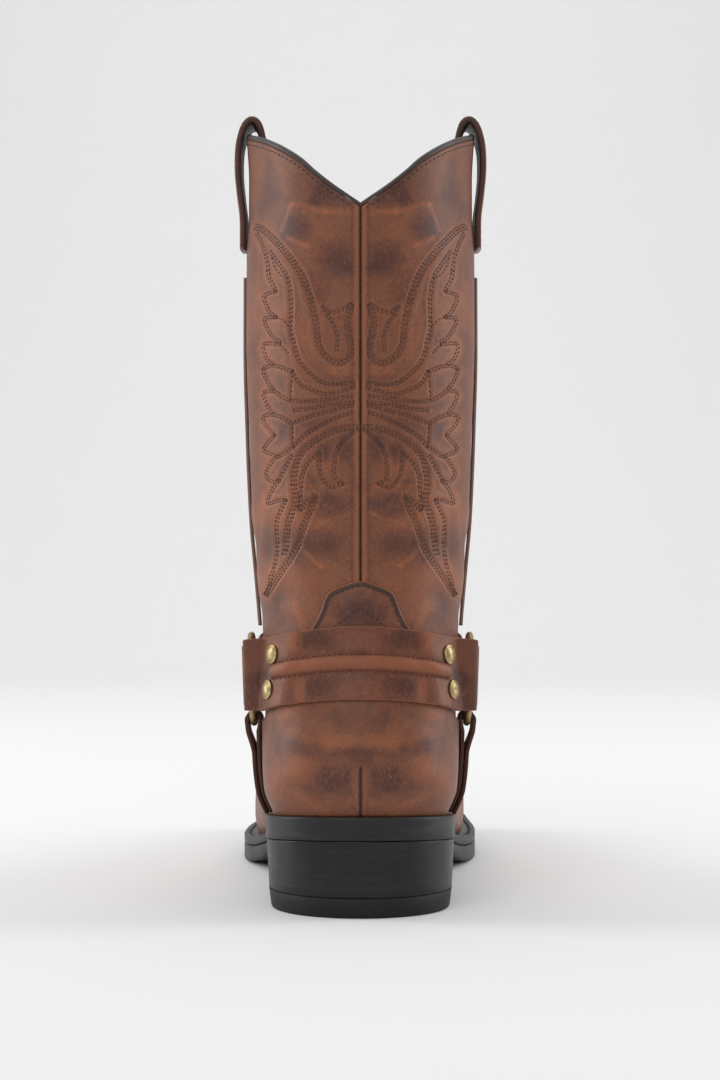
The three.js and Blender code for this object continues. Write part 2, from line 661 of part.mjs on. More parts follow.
// How far an outer layer stands off the leather so as to pass outside the ring
function offsetOverRing(y, z, close) {
  const near = 1 - ease(Math.abs(y - RING_ALONG), pocketReach, pocketReach + close);
  const over = ringPlane(z) + RING_WIRE + 2 * GAP - shiftAt(y) - halfWidth(y, z);
  return lerp(onLeather, Math.max(onLeather, over), near);
}

// The fold's edge stands this far from the ring's centre, so that a strap's corners clear the wire
const foldReach = Math.sqrt((RING_RADIUS - RING_WIRE - 0.8) ** 2 - (STRAP_NECK / 2 + STRAP_OVER) ** 2);

// A band from a path of functions that give its two faces at a share across
function band(path, across = 2) {
  const shares = Array.from({ length: across + 1 }, (_, k) => k / across);
  return solidOf(
    path.map((node) => {
      const faces = shares.map(node);
      return [...faces.map((f) => f[0]), ...faces.map((f) => f[1]).reverse()];
    }),
  );
}
const rivetAlong = RING_RADIUS + RING_WIRE + RIVET_RADIUS + 7.6; // rivets from the ring's centre
const RIVET_SEAT = RIVET_RADIUS + 0.7; // half the flat spot that a rivet sits on
const tuckAlong = rivetAlong + RIVET_RADIUS + 3;
const wrap = (angle) => Math.atan2(Math.sin(angle), Math.cos(angle));

// An angle at the ring's height, turned so that its place along the foot is kept at another height
function upright(angle, z) {
  const r = ring(levelOf(RING_HEIGHT));
  const turn = Math.abs(wrap(angle));
  const along = lerp(r.back, r.front, share(turn));
  const loose = ease(Math.abs(along - RING_ALONG), 22, 60);
  return (angle < 0 ? -1 : 1) * lerp(angleOf(along, z), turn, loose);
}

// One strap round the boot. edges gives its low and high edge at an angle; the ends fold at foldY
// and are sewn in at tuckY. Its middle is at the back or in front.
function wrapStrap({ edges, foldY, tuckY, close, stand, front }) {
  const forward = front ? -1 : 1;
  const foldAngle = angleOf(foldY, RING_HEIGHT);
  const tuckAngle = angleOf(tuckY, RING_HEIGHT);
  const heightAt = (turn, across) => lerp(...edges(turn), across);
  const outerOffset = (y, z, turn) => {
    const tucked = ease((turn - tuckAngle) * forward, -0.16, 0);
    const over = offsetOverRing(y, z, close) + stand * (1 - ease(Math.abs(y - RING_ALONG), 6, 52));
    return Math.max(over, lerp(onLeather, twoLayers, tucked));
  };
  const face = (at, z, proud) => {
    const angle = upright(at, z);
    const p = plainPoint(levelOf(z), angle);
    return skinAt(z, angle, outerOffset(p.y, z, Math.abs(at)) + proud);
  };
  const outerLayer = (angle) => (across) => {
    const z = heightAt(Math.abs(angle), across);
    return [face(angle, z, 0), face(angle, z, STRAP_LEATHER)];
  };
  const innerLayer = (angle) => (across) => {
    const z = heightAt(Math.abs(angle), across);
    return [STRAP_LEATHER, 0].map((proud) => skinAt(z, upright(angle, z), onLeather + proud));
  };
  const fold = (side, bend) => (across) => {
    const angle = side * foldAngle;
    const faces = outerLayer(angle)(across);
    const z = heightAt(foldAngle, across);
    const low = skinAt(z, upright(angle, z), onLeather + STRAP_LEATHER / 2);
    const high = faces[0].clone().lerp(faces[1], 0.5);
    const middle = low.clone().lerp(high, 0.5);
    const radius = low.distanceTo(high) / 2;
    const out = high.clone().sub(low).normalize();
    return [radius - STRAP_LEATHER / 2, radius + STRAP_LEATHER / 2].map((r) =>
      middle
        .clone()
        .addScaledVector(out, r * Math.sin(bend))
        .addScaledVector(new THREE.Vector3(0, forward, 0), r * Math.cos(bend)),
    );
  };
  const bends = [-55, -20, 20, 55].map((d) => (d * Math.PI) / 180);
  const ends = [0, 0.5, 1].map((k) => lerp(tuckAngle, foldAngle, k));
  const step = (2 * Math.PI) / AROUND;
  const middle = front ? Math.PI : 0;
  const between = angles.filter(
    (a) => (a - foldAngle) * forward < -0.3 * step && (a - middle) * forward > 0.3 * step,
  );
  const pocketAngle = angleOf(RING_ALONG - forward * pocketReach, RING_HEIGHT);
  const rivetSpan = [-1, 1].map((s) =>
    angleOf(RING_ALONG - forward * (rivetAlong - s * RIVET_SEAT), RING_HEIGHT),
  );
  const fixed = [foldAngle, pocketAngle, ...rivetSpan];
  const clear = (a) =>
    fixed.every((b) => Math.abs(a - b) > 0.4 * step) && (a - rivetSpan[0]) * (a - rivetSpan[1]) > 0;
  const free = between.filter((a) => a < Math.PI && clear(a));
  const half = [...free, ...fixed].sort((a, b) => (a - b) * forward);
  const across = [...half.slice().reverse().map((a) => -a), middle, ...half];
  const path = [
    ...ends.map((a) => innerLayer(-a)),
    ...bends.map((b) => fold(-1, b)),
    ...across.map(outerLayer),
    ...bends.slice().reverse().map((b) => fold(1, b)),
    ...ends.slice().reverse().map(innerLayer),
  ];
  return { solid: band(path), face, edges, rivetSpan };
}

const heelStrap = wrapStrap({
  edges: (turn) => {
    const middle = RING_HEIGHT + STRAP_OVER + HEEL_STRAP_RISE * (1 - ease(turn, 0, ringAngle));
    const half = lerp(HEEL_STRAP_WIDTH, STRAP_NECK, ease(turn, ringAngle - 0.35, ringAngle - 0.1)) / 2;
    return [middle - half, middle + half];
  },
  foldY: RING_ALONG - foldReach,
  tuckY: RING_ALONG - tuckAlong,
  close: 6,
  stand: 0,
  front: false,
});
const instepStrap = wrapStrap({
  edges: (turn) => {
    const top = ease(turn, ringAngle, Math.PI);
    const middle = RING_HEIGHT + STRAP_OVER + INSTEP_STRAP_RISE * top;
    const half = lerp(STRAP_NECK, INSTEP_STRAP_WIDTH * 0.8, top) / 2;
    return [middle - half, middle + half];
  },
  foldY: RING_ALONG + foldReach,
  tuckY: RING_ALONG + tuckAlong,
  close: 9,
  stand: 1.4,
  front: true,
});

// A rivet's cap: shares of its radius and of its height
const RIVET_PROFILE = [
  { reach: 0, up: 0 },
  { reach: 1, up: 0 },
  { reach: 1, up: 0.33 },
  { reach: 0.7, up: 0.8 },
  { reach: 0, up: 1 },
];
function makeRivet(strap, side, row) {
  const [near, far] = strap.rivetSpan;
  const corner = (turn, up) => {
    const [low, high] = strap.edges(turn);
    return strap.face(side * turn, lerp((low + high) / 2, row ? high : low, up), STRAP_LEATHER);
  };
  const up = RIVET_SPACING / (strap.edges(near)[1] - strap.edges(near)[0]);
  const [a, b, c, d] = [corner(near, 0), corner(far, 0), corner(far, 1), corner(near, 1)];
  const at = a.clone().lerp(b, 0.5).lerp(d.clone().lerp(c, 0.5), up);
  const out = b.clone().sub(a).add(c).sub(d).cross(d.clone().sub(a).add(c).sub(b)).normalize();
  if (out.x * side < 0) out.negate();
  const profile = RIVET_PROFILE.map(
    ({ reach, up }) => new THREE.Vector2(reach * RIVET_RADIUS, up * RIVET_RISE),
  );
  const cap = new THREE.LatheGeometry(profile, 10);
  cap.applyQuaternion(new THREE.Quaternion().setFromUnitVectors(new THREE.Vector3(0, 1, 0), out));
  cap.translate(...at.addScaledVector(out, GAP + 0.1).toArray());
  return manifoldOf(cap);
}

// The stuffed bead across the back of the heel strap: shares of half its width and of its height;
// its foot sinks a share of the strap's leather
const STRAP_BEAD = [
  { across: -1, rise: -0.5 },
  { across: -0.8, rise: 0.63 },
  { across: 0, rise: 1 },
  { across: 0.8, rise: 0.63 },
  { across: 1, rise: -0.5 },
];
function makeStrapBead() {
  const backAtStrap = RING_HEIGHT + STRAP_OVER + HEEL_STRAP_RISE;
  const wide = (y) => halfWidth(y, backAtStrap) - BEAD_REACH;
  const place = solve(wide, backAt(backAtStrap) + 0.1, RING_ALONG);
  const reach = angleOf(place, RING_HEIGHT);
  const stations = 16;
  const rows = Array.from({ length: stations + 1 }, (_, k) => {
    const angle = lerp(-reach, reach, k / stations);
    const [low, high] = heelStrap.edges(Math.abs(angle));
    const end = k === 0 || k === stations ? 0.5 : 1;
    return STRAP_BEAD.map(({ across, rise }) =>
      heelStrap.face(
        angle,
        (low + high) / 2 + (across * end * BEAD_WIDTH) / 2,
        STRAP_LEATHER + (rise < 0 ? rise * STRAP_LEATHER : rise * end * BEAD_RISE),
      ),
    );
  });
  return solidOf(rows);
}

function makeRing(side) {
  const shape = new THREE.TorusGeometry(RING_RADIUS, RING_WIRE, 6, 22);
  shape.rotateY(Math.PI / 2 + side * Math.atan(RING_LEAN));
  shape.translate(side * ringSide, RING_ALONG, RING_HEIGHT);
  return manifoldOf(shape);
}

// The stirrup strap: folded over the ring's lower wire, its two layers run down to the sole's edge
const STIRRUP_DOWN = [0.14, 0.3, 0.48, 0.66, 0.84, 1];
function makeStirrup(side) {
  const radius = RING_WIRE + GAP + 0.25;
  const loopTop = RING_HEIGHT - RING_RADIUS;
  const foot = seat(RING_ALONG + STIRRUP_LEAN) + STIRRUP_FOOT;
  const surface = (y, z) => {
    const level = z < LOW_LEVEL ? (z - seat(y)) / (LOW_LEVEL - seat(y)) : levelOf(z);
    const r = ring(level);
    const turn = solve((t) => lerp(r.back, r.front, share(t)) - y, 0, Math.PI);
    return { point: plainPoint(level, turn), out: outward(level, turn) };
  };
  const layer = (offset, far) => (down) => (across) => {
    const z = lerp(loopTop, foot, down);
    const width = lerp(STIRRUP_NECK, STIRRUP_WIDTH, ease(down, 0, 0.4));
    const y = RING_ALONG + STIRRUP_LEAN * down + (across - 0.5) * width;
    const { point, out } = surface(y, z);
    const over = ringPlane(z) + radius - point.x;
    const near = 1 - ease(down, 0.02, 0.5);
    const stand = far ? Math.max(offset, lerp(offset, over, near)) : offset;
    return [stand, stand + STRAP_LEATHER].map(
      (o) => new THREE.Vector3(side * (point.x + out.x * o), y + out.y * o, point.z + out.z * o),
    );
  };
  const inner = layer(onLeather, false);
  const outer = layer(twoLayers, true);
  const loop = (bend) => (across) => {
    const dy = (across - 0.5) * STIRRUP_NECK;
    const centre = RING_HEIGHT - Math.sqrt(RING_RADIUS ** 2 - dy ** 2);
    return [radius, radius + STRAP_LEATHER].map(
      (r) =>
        new THREE.Vector3(
          side * (ringPlane(centre) + r * Math.cos(bend)),
          RING_ALONG + dy,
          centre + r * Math.sin(bend),
        ),
    );
  };
  const bends = [180, 140, 100, 60, 20, -10].map((d) => (d * Math.PI) / 180);
  const path = [
    ...STIRRUP_DOWN.slice().reverse().map((down) => (across) => inner(down)(across).reverse()),
    ...bends.map(loop),
    ...STIRRUP_DOWN.map(outer),
  ];
  return band(path, 4);
}

// A pull strap: up the outside of the collar, over its top and down the inside. up is a share of
// the loop's height; out is its middle's distance from the leather, in thicknesses of the strap.
const PULL_PATH = [
  { up: 0, out: 0.64 },
  { up: 0.22, out: 0.66 },
  { up: 0.42, out: 1.12 },
  { up: 0.62, out: 1.48 },
  { up: 0.8, out: 1.36 },
  { up: 0.92, out: 0.76 },
  { up: 0.985, out: -0.08 },
  { up: 1, out: -0.96 },
  { up: 0.97, out: -1.84 },
  { up: 0.88, out: -2.48 },
  { up: 0.72, out: -2.64 },
  { up: 0.5, out: -2.16 },
  { up: 0.26, out: -1.84 },
  { up: 0, out: -1.8 },
];
function makePullStrap(side) {
  const high = COLLAR_HEIGHT + PULL_RISE - PULL_LEATHER / 2;
  const low = COLLAR_HEIGHT + PULL_RISE - PULL_DROP;
  const y = middleAt(COLLAR_HEIGHT);
  const middles = PULL_PATH.map(({ up, out }) => {
    const z = lerp(low, high, up);
    return new THREE.Vector2(halfAt(Math.min(z, COLLAR_HEIGHT)) + out * PULL_LEATHER, z);
  });
  const path = middles.map((at, i) => {
    const before = middles[Math.max(0, i - 1)];
    const after = middles[Math.min(middles.length - 1, i + 1)];
    const run = after.clone().sub(before).normalize();
    // Both faces follow the leather's curve along the foot
    return (across) => {
      const along = (across - 0.5) * PULL_WIDTH;
      const drop = halfAt(at.y) - halfWidth(y + along, Math.min(at.y, HIGH_LEVEL));
      return [-0.5, 0.5].map(
        (s) =>
          new THREE.Vector3(
            side * (at.x - drop + run.y * s * PULL_LEATHER),
            y + along,
            at.y - run.x * s * PULL_LEATHER,
          ),
      );
    };
  });
  return band(path);
}

// The boot, put together
const finish = (color, roughness, metalness = 0) =>
  new THREE.MeshStandardMaterial({ color, roughness, metalness });
const leather = finish(0x764f3e, 0.55);
const darkLeather = finish(0x4a2f25, 0.6);
const sole = finish(0x2b2b2b, 0.5);
const brass = finish(0xa8904f, 0.35, 1);
const lining = finish(0xb49a7c, 0.8);

const boot = new THREE.Group();
boot.position.y = -HEEL_LENGTH / 2;
function add(name, solid, material) {
  const mesh = new THREE.Mesh(geometryOf(solid), material);
  mesh.name = name;
  boot.add(mesh);
}
add("top_lift", makeTopLift(), sole);
add("heel", makeHeel(), sole);
add("outsole", makeOutsole(), sole);
add("welt", makeWelt(), sole);
add("insole", makeInsole(), lining);
add("upper", makeUpper(), leather);
add("counter", makeCounter(), leather);
add("vamp", makeVamp(), leather);
add("collar_bead", makeCollarBead(), darkLeather);
add("heel_strap", heelStrap.solid.add(makeStrapBead()), leather);
add("instep_strap", instepStrap.solid, leather);
for (const [where, side] of [["inner", 1], ["outer", -1]]) {
  add(`side_piping_${where}`, makeSidePiping(side), darkLeather);
  add(`pull_strap_${where}`, makePullStrap(side), leather);
  add(`ring_${where}`, makeRing(side), brass);
  add(`stirrup_strap_${where}`, makeStirrup(side), leather);
  for (const [place, strap] of [["heel", heelStrap], ["instep", instepStrap]]) {
    for (const [row, height] of ["low", "high"].entries()) {
      add(`rivet_${place}_${height}_${where}`, makeRivet(strap, side, row), brass);
    }
  }
}

export default boot;
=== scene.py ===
"""Looks of a left harness boot: waxed brown leather, stitched shaft, harness, stacked heel.

Sizes are in millimetres from the heel's back, as the boot's own sizes are; meshes are in metres.
"""
import math

import bmesh
import bpy
import numpy as np
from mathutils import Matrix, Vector, kdtree


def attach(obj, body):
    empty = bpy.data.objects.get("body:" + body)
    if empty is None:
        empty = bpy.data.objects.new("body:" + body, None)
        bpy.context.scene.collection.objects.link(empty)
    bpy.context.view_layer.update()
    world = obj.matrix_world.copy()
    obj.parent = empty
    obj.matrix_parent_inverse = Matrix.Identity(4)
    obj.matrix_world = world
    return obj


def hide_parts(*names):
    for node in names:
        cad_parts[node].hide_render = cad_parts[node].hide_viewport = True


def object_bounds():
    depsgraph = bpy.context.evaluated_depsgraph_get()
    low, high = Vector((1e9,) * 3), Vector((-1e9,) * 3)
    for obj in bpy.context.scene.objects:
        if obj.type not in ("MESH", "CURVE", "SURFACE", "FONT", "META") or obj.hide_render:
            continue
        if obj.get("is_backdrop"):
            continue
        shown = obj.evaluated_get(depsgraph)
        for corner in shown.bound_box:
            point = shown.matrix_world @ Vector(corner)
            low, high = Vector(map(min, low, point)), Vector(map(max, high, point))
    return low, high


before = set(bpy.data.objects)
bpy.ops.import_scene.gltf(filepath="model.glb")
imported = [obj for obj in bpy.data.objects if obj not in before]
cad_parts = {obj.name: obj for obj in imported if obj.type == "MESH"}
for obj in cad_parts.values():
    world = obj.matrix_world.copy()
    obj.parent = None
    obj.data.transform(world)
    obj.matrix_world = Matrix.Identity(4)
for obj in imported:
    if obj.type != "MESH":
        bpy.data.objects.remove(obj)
cad_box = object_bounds()
MM = 0.001

# Sizes of the last, the upper and the bottom
FOOT_LENGTH = 300
BALL_WIDTH = 94.6
SEAT_HEIGHT = 39.9
BALL_SEAT = 12.3
TOE_SPRING = 7
ANKLE_HEIGHT = 160
COLLAR_HEIGHT = 312.6
COLLAR_DIP = 36.4
SHAFT_WIDTH = 94
SHAFT_DEPTH = 138
WALL = 2.4
OVERLAY = 1.0
GAP = 0.3
HEEL_LENGTH = 75
WELT_HEIGHT = 4.2
WELT_REACH = 7.9
SEAT_REACH = 4.6
LIFT_HEIGHT = 7.8
SEAT_LAYER = 9.5
HEEL_TAPER = 2.1

# Sizes of the harness, the loops and the trims
RING_HEIGHT = 90.2
RING_ALONG = 56
RING_RADIUS = 17.9
RING_WIRE = 1.4
RING_LEAN = 0.035
STRAP_LEATHER = 1.2
HEEL_STRAP_WIDTH = 29
INSTEP_STRAP_WIDTH = 25.6
STRAP_NECK = 25.2
STRAP_OVER = 1
HEEL_STRAP_RISE = 7.6
INSTEP_STRAP_RISE = 24
STIRRUP_WIDTH = 21
STIRRUP_NECK = 14
STIRRUP_LEAN = 22
STIRRUP_LEATHER = 1.75
BEAD_WIDTH = 5.2
BEAD_REACH = 31
RIVET_RADIUS = 3.9
RIVET_SPACING = 13.9
PULL_WIDTH = 26
PULL_LEATHER = 2.5
PULL_RISE = 7.9
PULL_DROP = 53.5
LOW_LEVEL = 60
HIGH_LEVEL = 262
ORIGIN_ALONG = HEEL_LENGTH / 2

# The front from the side: share of the foot's length, share of the rise from toe to ankle
FRONT_PROFILE = [
    (0.997, 0), (1.003, 0.055), (1.0, 0.12), (0.985, 0.176), (0.96, 0.215), (0.917, 0.248),
    (0.847, 0.292), (0.747, 0.362), (0.64, 0.455), (0.543, 0.574), (0.477, 0.702), (0.43, 0.844),
    (0.41, 1),
]
# The leg: up, back, middle, front, half; shares of the rise, the shaft's depth and half its width
LEG_PROFILE = [
    (0, 0.033, 0.3, None, 0.713), (0.037, 0.021, 0.31, None, 0.8), (0.074, 0.017, 0.33, None, 0.817),
    (0.129, 0.025, 0.36, None, 0.823), (0.202, 0.051, 0.4, None, 0.83),
    (0.272, 0.072, 0.45, None, 0.862), (0.349, 0.076, 0.475, None, 0.905),
    (0.426, 0.069, 0.48, None, 0.945), (0.543, 0.051, 0.482, 0.906, 0.977),
    (0.693, 0.029, 0.484, 0.935, 1), (0.814, 0.014, 0.486, 0.96, 1),
    (0.88, 0.007, 0.487, 0.971, 0.979), (0.935, 0, 0.488, 0.98, 0.979), (1, -0.007, 0.49, 0.993, 1),
]
# The forefoot from above: along, inner, outer, fullness, tuck
FOREFOOT_PLAN = [
    (0.2, 0.82, 0.82, 2.2, 0.12), (0.3, 0.81, 0.815, 2.1, 0.13), (0.4, 0.815, 0.83, 1.95, 0.13),
    (0.5, 0.875, 0.91, 1.95, 0.09), (0.58, 0.945, 0.98, 2.05, 0.05), (0.64, 0.985, 1, 2.15, 0.03),
    (0.7, 1, 0.985, 2.25, 0.03), (0.78, 0.98, 0.92, 2.4, 0.03), (0.86, 0.925, 0.82, 2.6, 0.03),
    (0.92, 0.85, 0.71, 2.8, 0.03), (0.96, 0.765, 0.585, 3, 0.03), (0.985, 0.665, 0.46, 3.1, 0.03),
    (0.996, 0.56, 0.35, 3.2, 0.03), (1.001, 0.41, 0.2, 3.2, 0.03), (1.0033, 0.105, -0.105, 3.2, 0.03),
]
# The collar's edge from behind: share of half the shaft's width, share of the dip
COLLAR_PROFILE = [
    (0, 0), (0.12, 0.1), (0.224, 0.19), (0.396, 0.362), (0.512, 0.5), (0.659, 0.64), (0.812, 0.772),
    (0.92, 0.865), (0.985, 0.945), (1, 1),
]
# The sole from the side: along, seat, tread, spring
SOLE_PROFILE = [
    (0, 1, 1, 0), (0.127, 0.884, 0.895, 0), (0.25, 0.757, 0.78, 0), (0.32, 0.615, 0.655, 0),
    (0.4, 0.392, 0.45, 0), (0.48, 0.152, 0.2, 0), (0.55, 0.03, 0.045, 0), (0.6, 0, 0, 0),
    (0.78, 0, 0, 0), (0.87, 0, 0, 0.26), (1.02, 0, 0, 1),
]


def lerp(a, b, t):
    return a + (b - a) * t


def ease(v, start, stop):
    t = np.clip((v - start) / (stop - start), 0, 1)
    return t * t * (3 - 2 * t)


def bell(v, centre, width):
    """A soft bump, 1 where v is centre and nearly 0 two widths away."""
    return np.exp(-((v - centre) / width) ** 2)


def turn_of(angle):
    """How far an angle is from the back seam, 0 to pi, on either side."""
    return np.abs(np.arctan2(np.sin(angle), np.cos(angle)))


class Curve:
    """A smooth curve through (place, value) pairs that never overshoots between them."""

    def __init__(self, pairs):
        self.x = np.array([p[0] for p in pairs], float)
        self.y = np.array([p[1] for p in pairs], float)
        slope = np.diff(self.y) / np.diff(self.x)
        a, b = slope[:-1], slope[1:]
        both = a + b
        inner = np.where(a * b > 0, 2 * a * b / np.where(both == 0, 1, both), 0)
        self.tangent = np.concatenate([slope[:1], inner, slope[-1:]])

    def __call__(self, v):
        at = np.clip(v, self.x[0], self.x[-1])
        i = np.clip(np.searchsorted(self.x, at) - 1, 0, len(self.x) - 2)
        h = self.x[i + 1] - self.x[i]
        t = (at - self.x[i]) / h
        t2, t3 = t * t, t * t * t
        return (self.y[i] * (2 * t3 - 3 * t2 + 1) + h * self.tangent[i] * (t3 - 2 * t2 + t)
                + self.y[i + 1] * (3 * t2 - 2 * t3) + h * self.tangent[i + 1] * (t3 - t2))


def solve(rising, low, high, steps=36):
    """The places between low and high where a rising function reaches zero."""
    low, high = np.broadcast_arrays(np.asarray(low, float), np.asarray(high, float))
    for _ in range(steps):
        middle = (low + high) / 2
        above = rising(middle) > 0
        low, high = np.where(above, low, middle), np.where(above, middle, high)
    return (low + high) / 2


# The boot's form, the same function that its solids follow
seat_share = Curve([(r[0] * FOOT_LENGTH, r[1]) for r in SOLE_PROFILE])
tread_share = Curve([(r[0] * FOOT_LENGTH, r[2]) for r in SOLE_PROFILE])
spring_share = Curve([(r[0] * FOOT_LENGTH, r[3]) for r in SOLE_PROFILE])


def seat(y):
    return BALL_SEAT + (SEAT_HEIGHT - BALL_SEAT) * seat_share(y) + TOE_SPRING * spring_share(y)


def tread(y):
    return (SEAT_HEIGHT - SEAT_LAYER) * tread_share(y) + TOE_SPRING * spring_share(y)


TOE_SEAT = float(seat(FOOT_LENGTH))


def leg_column(index, size):
    rows = [r for r in LEG_PROFILE if r[index] is not None]
    return Curve([(lerp(SEAT_HEIGHT, COLLAR_HEIGHT, r[0]), r[index] * size) for r in rows])


back_at = leg_column(1, SHAFT_DEPTH)
middle_at = leg_column(2, SHAFT_DEPTH)
half_at = leg_column(4, SHAFT_WIDTH / 2)
front_at = Curve(
    [(lerp(TOE_SEAT, ANKLE_HEIGHT, up), along * FOOT_LENGTH) for along, up in FRONT_PROFILE]
    + [(lerp(SEAT_HEIGHT, COLLAR_HEIGHT, r[0]), r[3] * SHAFT_DEPTH) for r in LEG_PROFILE if r[3]])
inner_at = Curve([(r[0] * FOOT_LENGTH, r[1] * BALL_WIDTH / 2) for r in FOREFOOT_PLAN])
outer_at = Curve([(r[0] * FOOT_LENGTH, r[2] * BALL_WIDTH / 2) for r in FOREFOOT_PLAN])
fullness_at = Curve([(r[0] * FOOT_LENGTH, r[3]) for r in FOREFOOT_PLAN])
tuck_at = Curve([(r[0] * FOOT_LENGTH, r[4]) for r in FOREFOOT_PLAN])
TIP = max(r[0] for r in FRONT_PROFILE) * FOOT_LENGTH
TIP_HEIGHT = lerp(TOE_SEAT, ANKLE_HEIGHT, FRONT_PROFILE[1][1])
ridge_y = lerp(float(front_at(ANKLE_HEIGHT)) + 0.5, TIP, np.sqrt(np.arange(90) / 89))
ridge = Curve(list(zip(ridge_y, solve(lambda z: ridge_y - front_at(z), TIP_HEIGHT, ANKLE_HEIGHT))))
WIDEST_OVER_SEAT = 9


def leg_half(y, z):
    over_seat = np.clip((z - seat(y)) / LOW_LEVEL, 0, 1)
    level = z - (seat(y) - SEAT_HEIGHT) * (1 - over_seat)
    middle = middle_at(z)
    reach = np.where(y < middle, middle - back_at(z), front_at(z) - middle)
    out = np.clip(np.abs(y - middle) / reach, 0, 1)
    return half_at(level) * (1 - out ** 2.2) ** (1 / 2.1)


def foot_half(y, z):
    nose = np.maximum(0, TIP - front_at(np.minimum(z, TIP_HEIGHT))) * ease(y, TIP - 40, TIP)
    at = np.minimum(TIP, y + np.where(z < TIP_HEIGHT, nose, 0))
    wide = (inner_at(at) + outer_at(at)) / 2
    widest = np.minimum(seat(y) + WIDEST_OVER_SEAT, ridge(y) - 1)
    under = np.clip((widest - z) / WIDEST_OVER_SEAT, 0, 1)
    up = np.clip((z - widest) / (ridge(y) - widest), 0, 1)
    over = wide * (1 - up ** fullness_at(y)) ** (1 / 2.1)
    return np.where(z <= widest, wide * (1 - tuck_at(y) * under * under), over)


def half_width(y, z):
    foot = ease(y, 0.31 * FOOT_LENGTH, 0.5 * FOOT_LENGTH) * (1 - ease(z, 105, 150))
    return lerp(leg_half(y, z), foot_half(y, z), foot)


def shift_at(y):
    return (inner_at(y) - outer_at(y)) / 2 * ease(y, 0.3 * FOOT_LENGTH, 0.5 * FOOT_LENGTH)


# Ends of the low rings, which follow the sole, by level 0 to 1
low_levels = np.linspace(0, 1, 400)
low_back = np.full(400, float(back_at(SEAT_HEIGHT)))
low_front = np.full(400, TIP)
for _ in range(40):
    low_back = back_at(lerp(seat(low_back), LOW_LEVEL, low_levels))
    low_front = lerp(low_front, front_at(lerp(seat(low_front), LOW_LEVEL, low_levels)), 0.6)


def ring_ends(level):
    plain = lerp(LOW_LEVEL, HIGH_LEVEL, np.clip(level - 1, 0, 1))
    low = level < 1
    back = np.where(low, np.interp(level, low_levels, low_back), back_at(plain))
    front = np.where(low, np.interp(level, low_levels, low_front), front_at(plain))
    return back, front, plain


def share(turn):
    return lerp(turn / math.pi, (1 - np.cos(turn)) / 2, 0.86)


collar_share = Curve(COLLAR_PROFILE)
HIGH_ENDS = float(back_at(HIGH_LEVEL)), float(front_at(HIGH_LEVEL))


def collar_edge(turn):
    across = half_width(lerp(*HIGH_ENDS, share(turn)), HIGH_LEVEL) / half_at(HIGH_LEVEL)
    return COLLAR_HEIGHT - COLLAR_DIP * (1 - collar_share(across))


def plain_point(level, angle):
    """A point of the shaft leather, with the angle 0 at the back and pi in front."""
    level, angle = np.broadcast_arrays(np.asarray(level, float), np.asarray(angle, float))
    turn = turn_of(angle)
    side = np.where(np.sin(angle) < 0, -1, 1)
    back, front, plain = ring_ends(level)
    along = lerp(back, front, share(turn))
    height = np.where(level < 1, lerp(seat(along), LOW_LEVEL, np.clip(level, 0, 1)), plain)
    rise = np.clip(level - 2, 0, 1)
    high = lerp(HIGH_LEVEL, collar_edge(turn), rise)
    z = np.where(rise > 0, high, height)
    y = np.where(rise > 0, lerp(back_at(high), front_at(high), share(turn)), along)
    half = np.where((turn < 1e-9) | (turn > math.pi - 1e-9), 0, half_width(y, z))
    return np.stack([np.where(rise > 0, 0, shift_at(y)) + side * half, y, z], -1)


# Angles round the boot, spaced evenly along the leather
FINE_TURN = np.linspace(0, 1, 3000) ** 2.2 * math.pi / 2
HALF_ROUND = np.concatenate([FINE_TURN, math.pi - FINE_TURN[-2::-1]])


def even(level, start, stop, count):
    """Angles from start to stop, equally far from each other along the leather at a level."""
    p = plain_point(level, HALF_ROUND)
    run = np.concatenate([[0], np.cumsum(np.linalg.norm(np.diff(p, axis=0), axis=1))])
    return np.interp(np.linspace(*np.interp([start, stop], HALF_ROUND, run), count), run, HALF_ROUND)


def both_sides(half):
    """Angles of one side, which start at 0 behind, and the same on the other side."""
    return np.concatenate([-half[:0:-1], half])


def all_round(half):
    """Angles of one side, from 0 to pi, and those of the other side back to 0."""
    return np.concatenate([half, 2 * math.pi - half[-2:0:-1]])


STEP = 1e-3


def outward(level, angle):
    """The direction straight out of the leather."""
    level, angle = np.broadcast_arrays(np.asarray(level, float), np.asarray(angle, float))
    up = plain_point(np.minimum(3, level + STEP), angle) - plain_point(np.maximum(0, level - STEP), angle)
    across = plain_point(level, angle + STEP) - plain_point(level, angle - STEP)
    at_end = np.linalg.norm(across, axis=-1, keepdims=True) < 1e-6
    across = np.where(at_end, np.stack([np.cos(angle), 0 * angle, 0 * angle], -1), across)
    normal = np.cross(across, up)
    return normal / np.linalg.norm(normal, axis=-1, keepdims=True)


def skin(level, angle, offset):
    """Points that stand off the shaft leather by an offset."""
    offset = np.asarray(offset, float)
    return plain_point(level, angle) + outward(level, angle) * offset[..., None]


def level_of(z):
    return 1 + (np.asarray(z, float) - LOW_LEVEL) / (HIGH_LEVEL - LOW_LEVEL)


def low_level_of(y, z):
    """The level of a height over a place along the foot, under or over the first level ring."""
    low = (z - seat(y)) / (LOW_LEVEL - seat(y))
    return np.where(z < LOW_LEVEL, low, level_of(z))


def angle_of(y, level):
    back, front, _ = ring_ends(np.asarray(level, float))
    return solve(lambda turn: lerp(back, front, share(turn)) - y, 0, math.pi)


def skin_at(z, angle, offset):
    return skin(level_of(z), angle, offset)


# Making meshes
def place(points):
    """Millimetres from the heel's back to metres in the boot's frame."""
    return (np.asarray(points, float) - [0, ORIGIN_ALONG, 0]) * MM


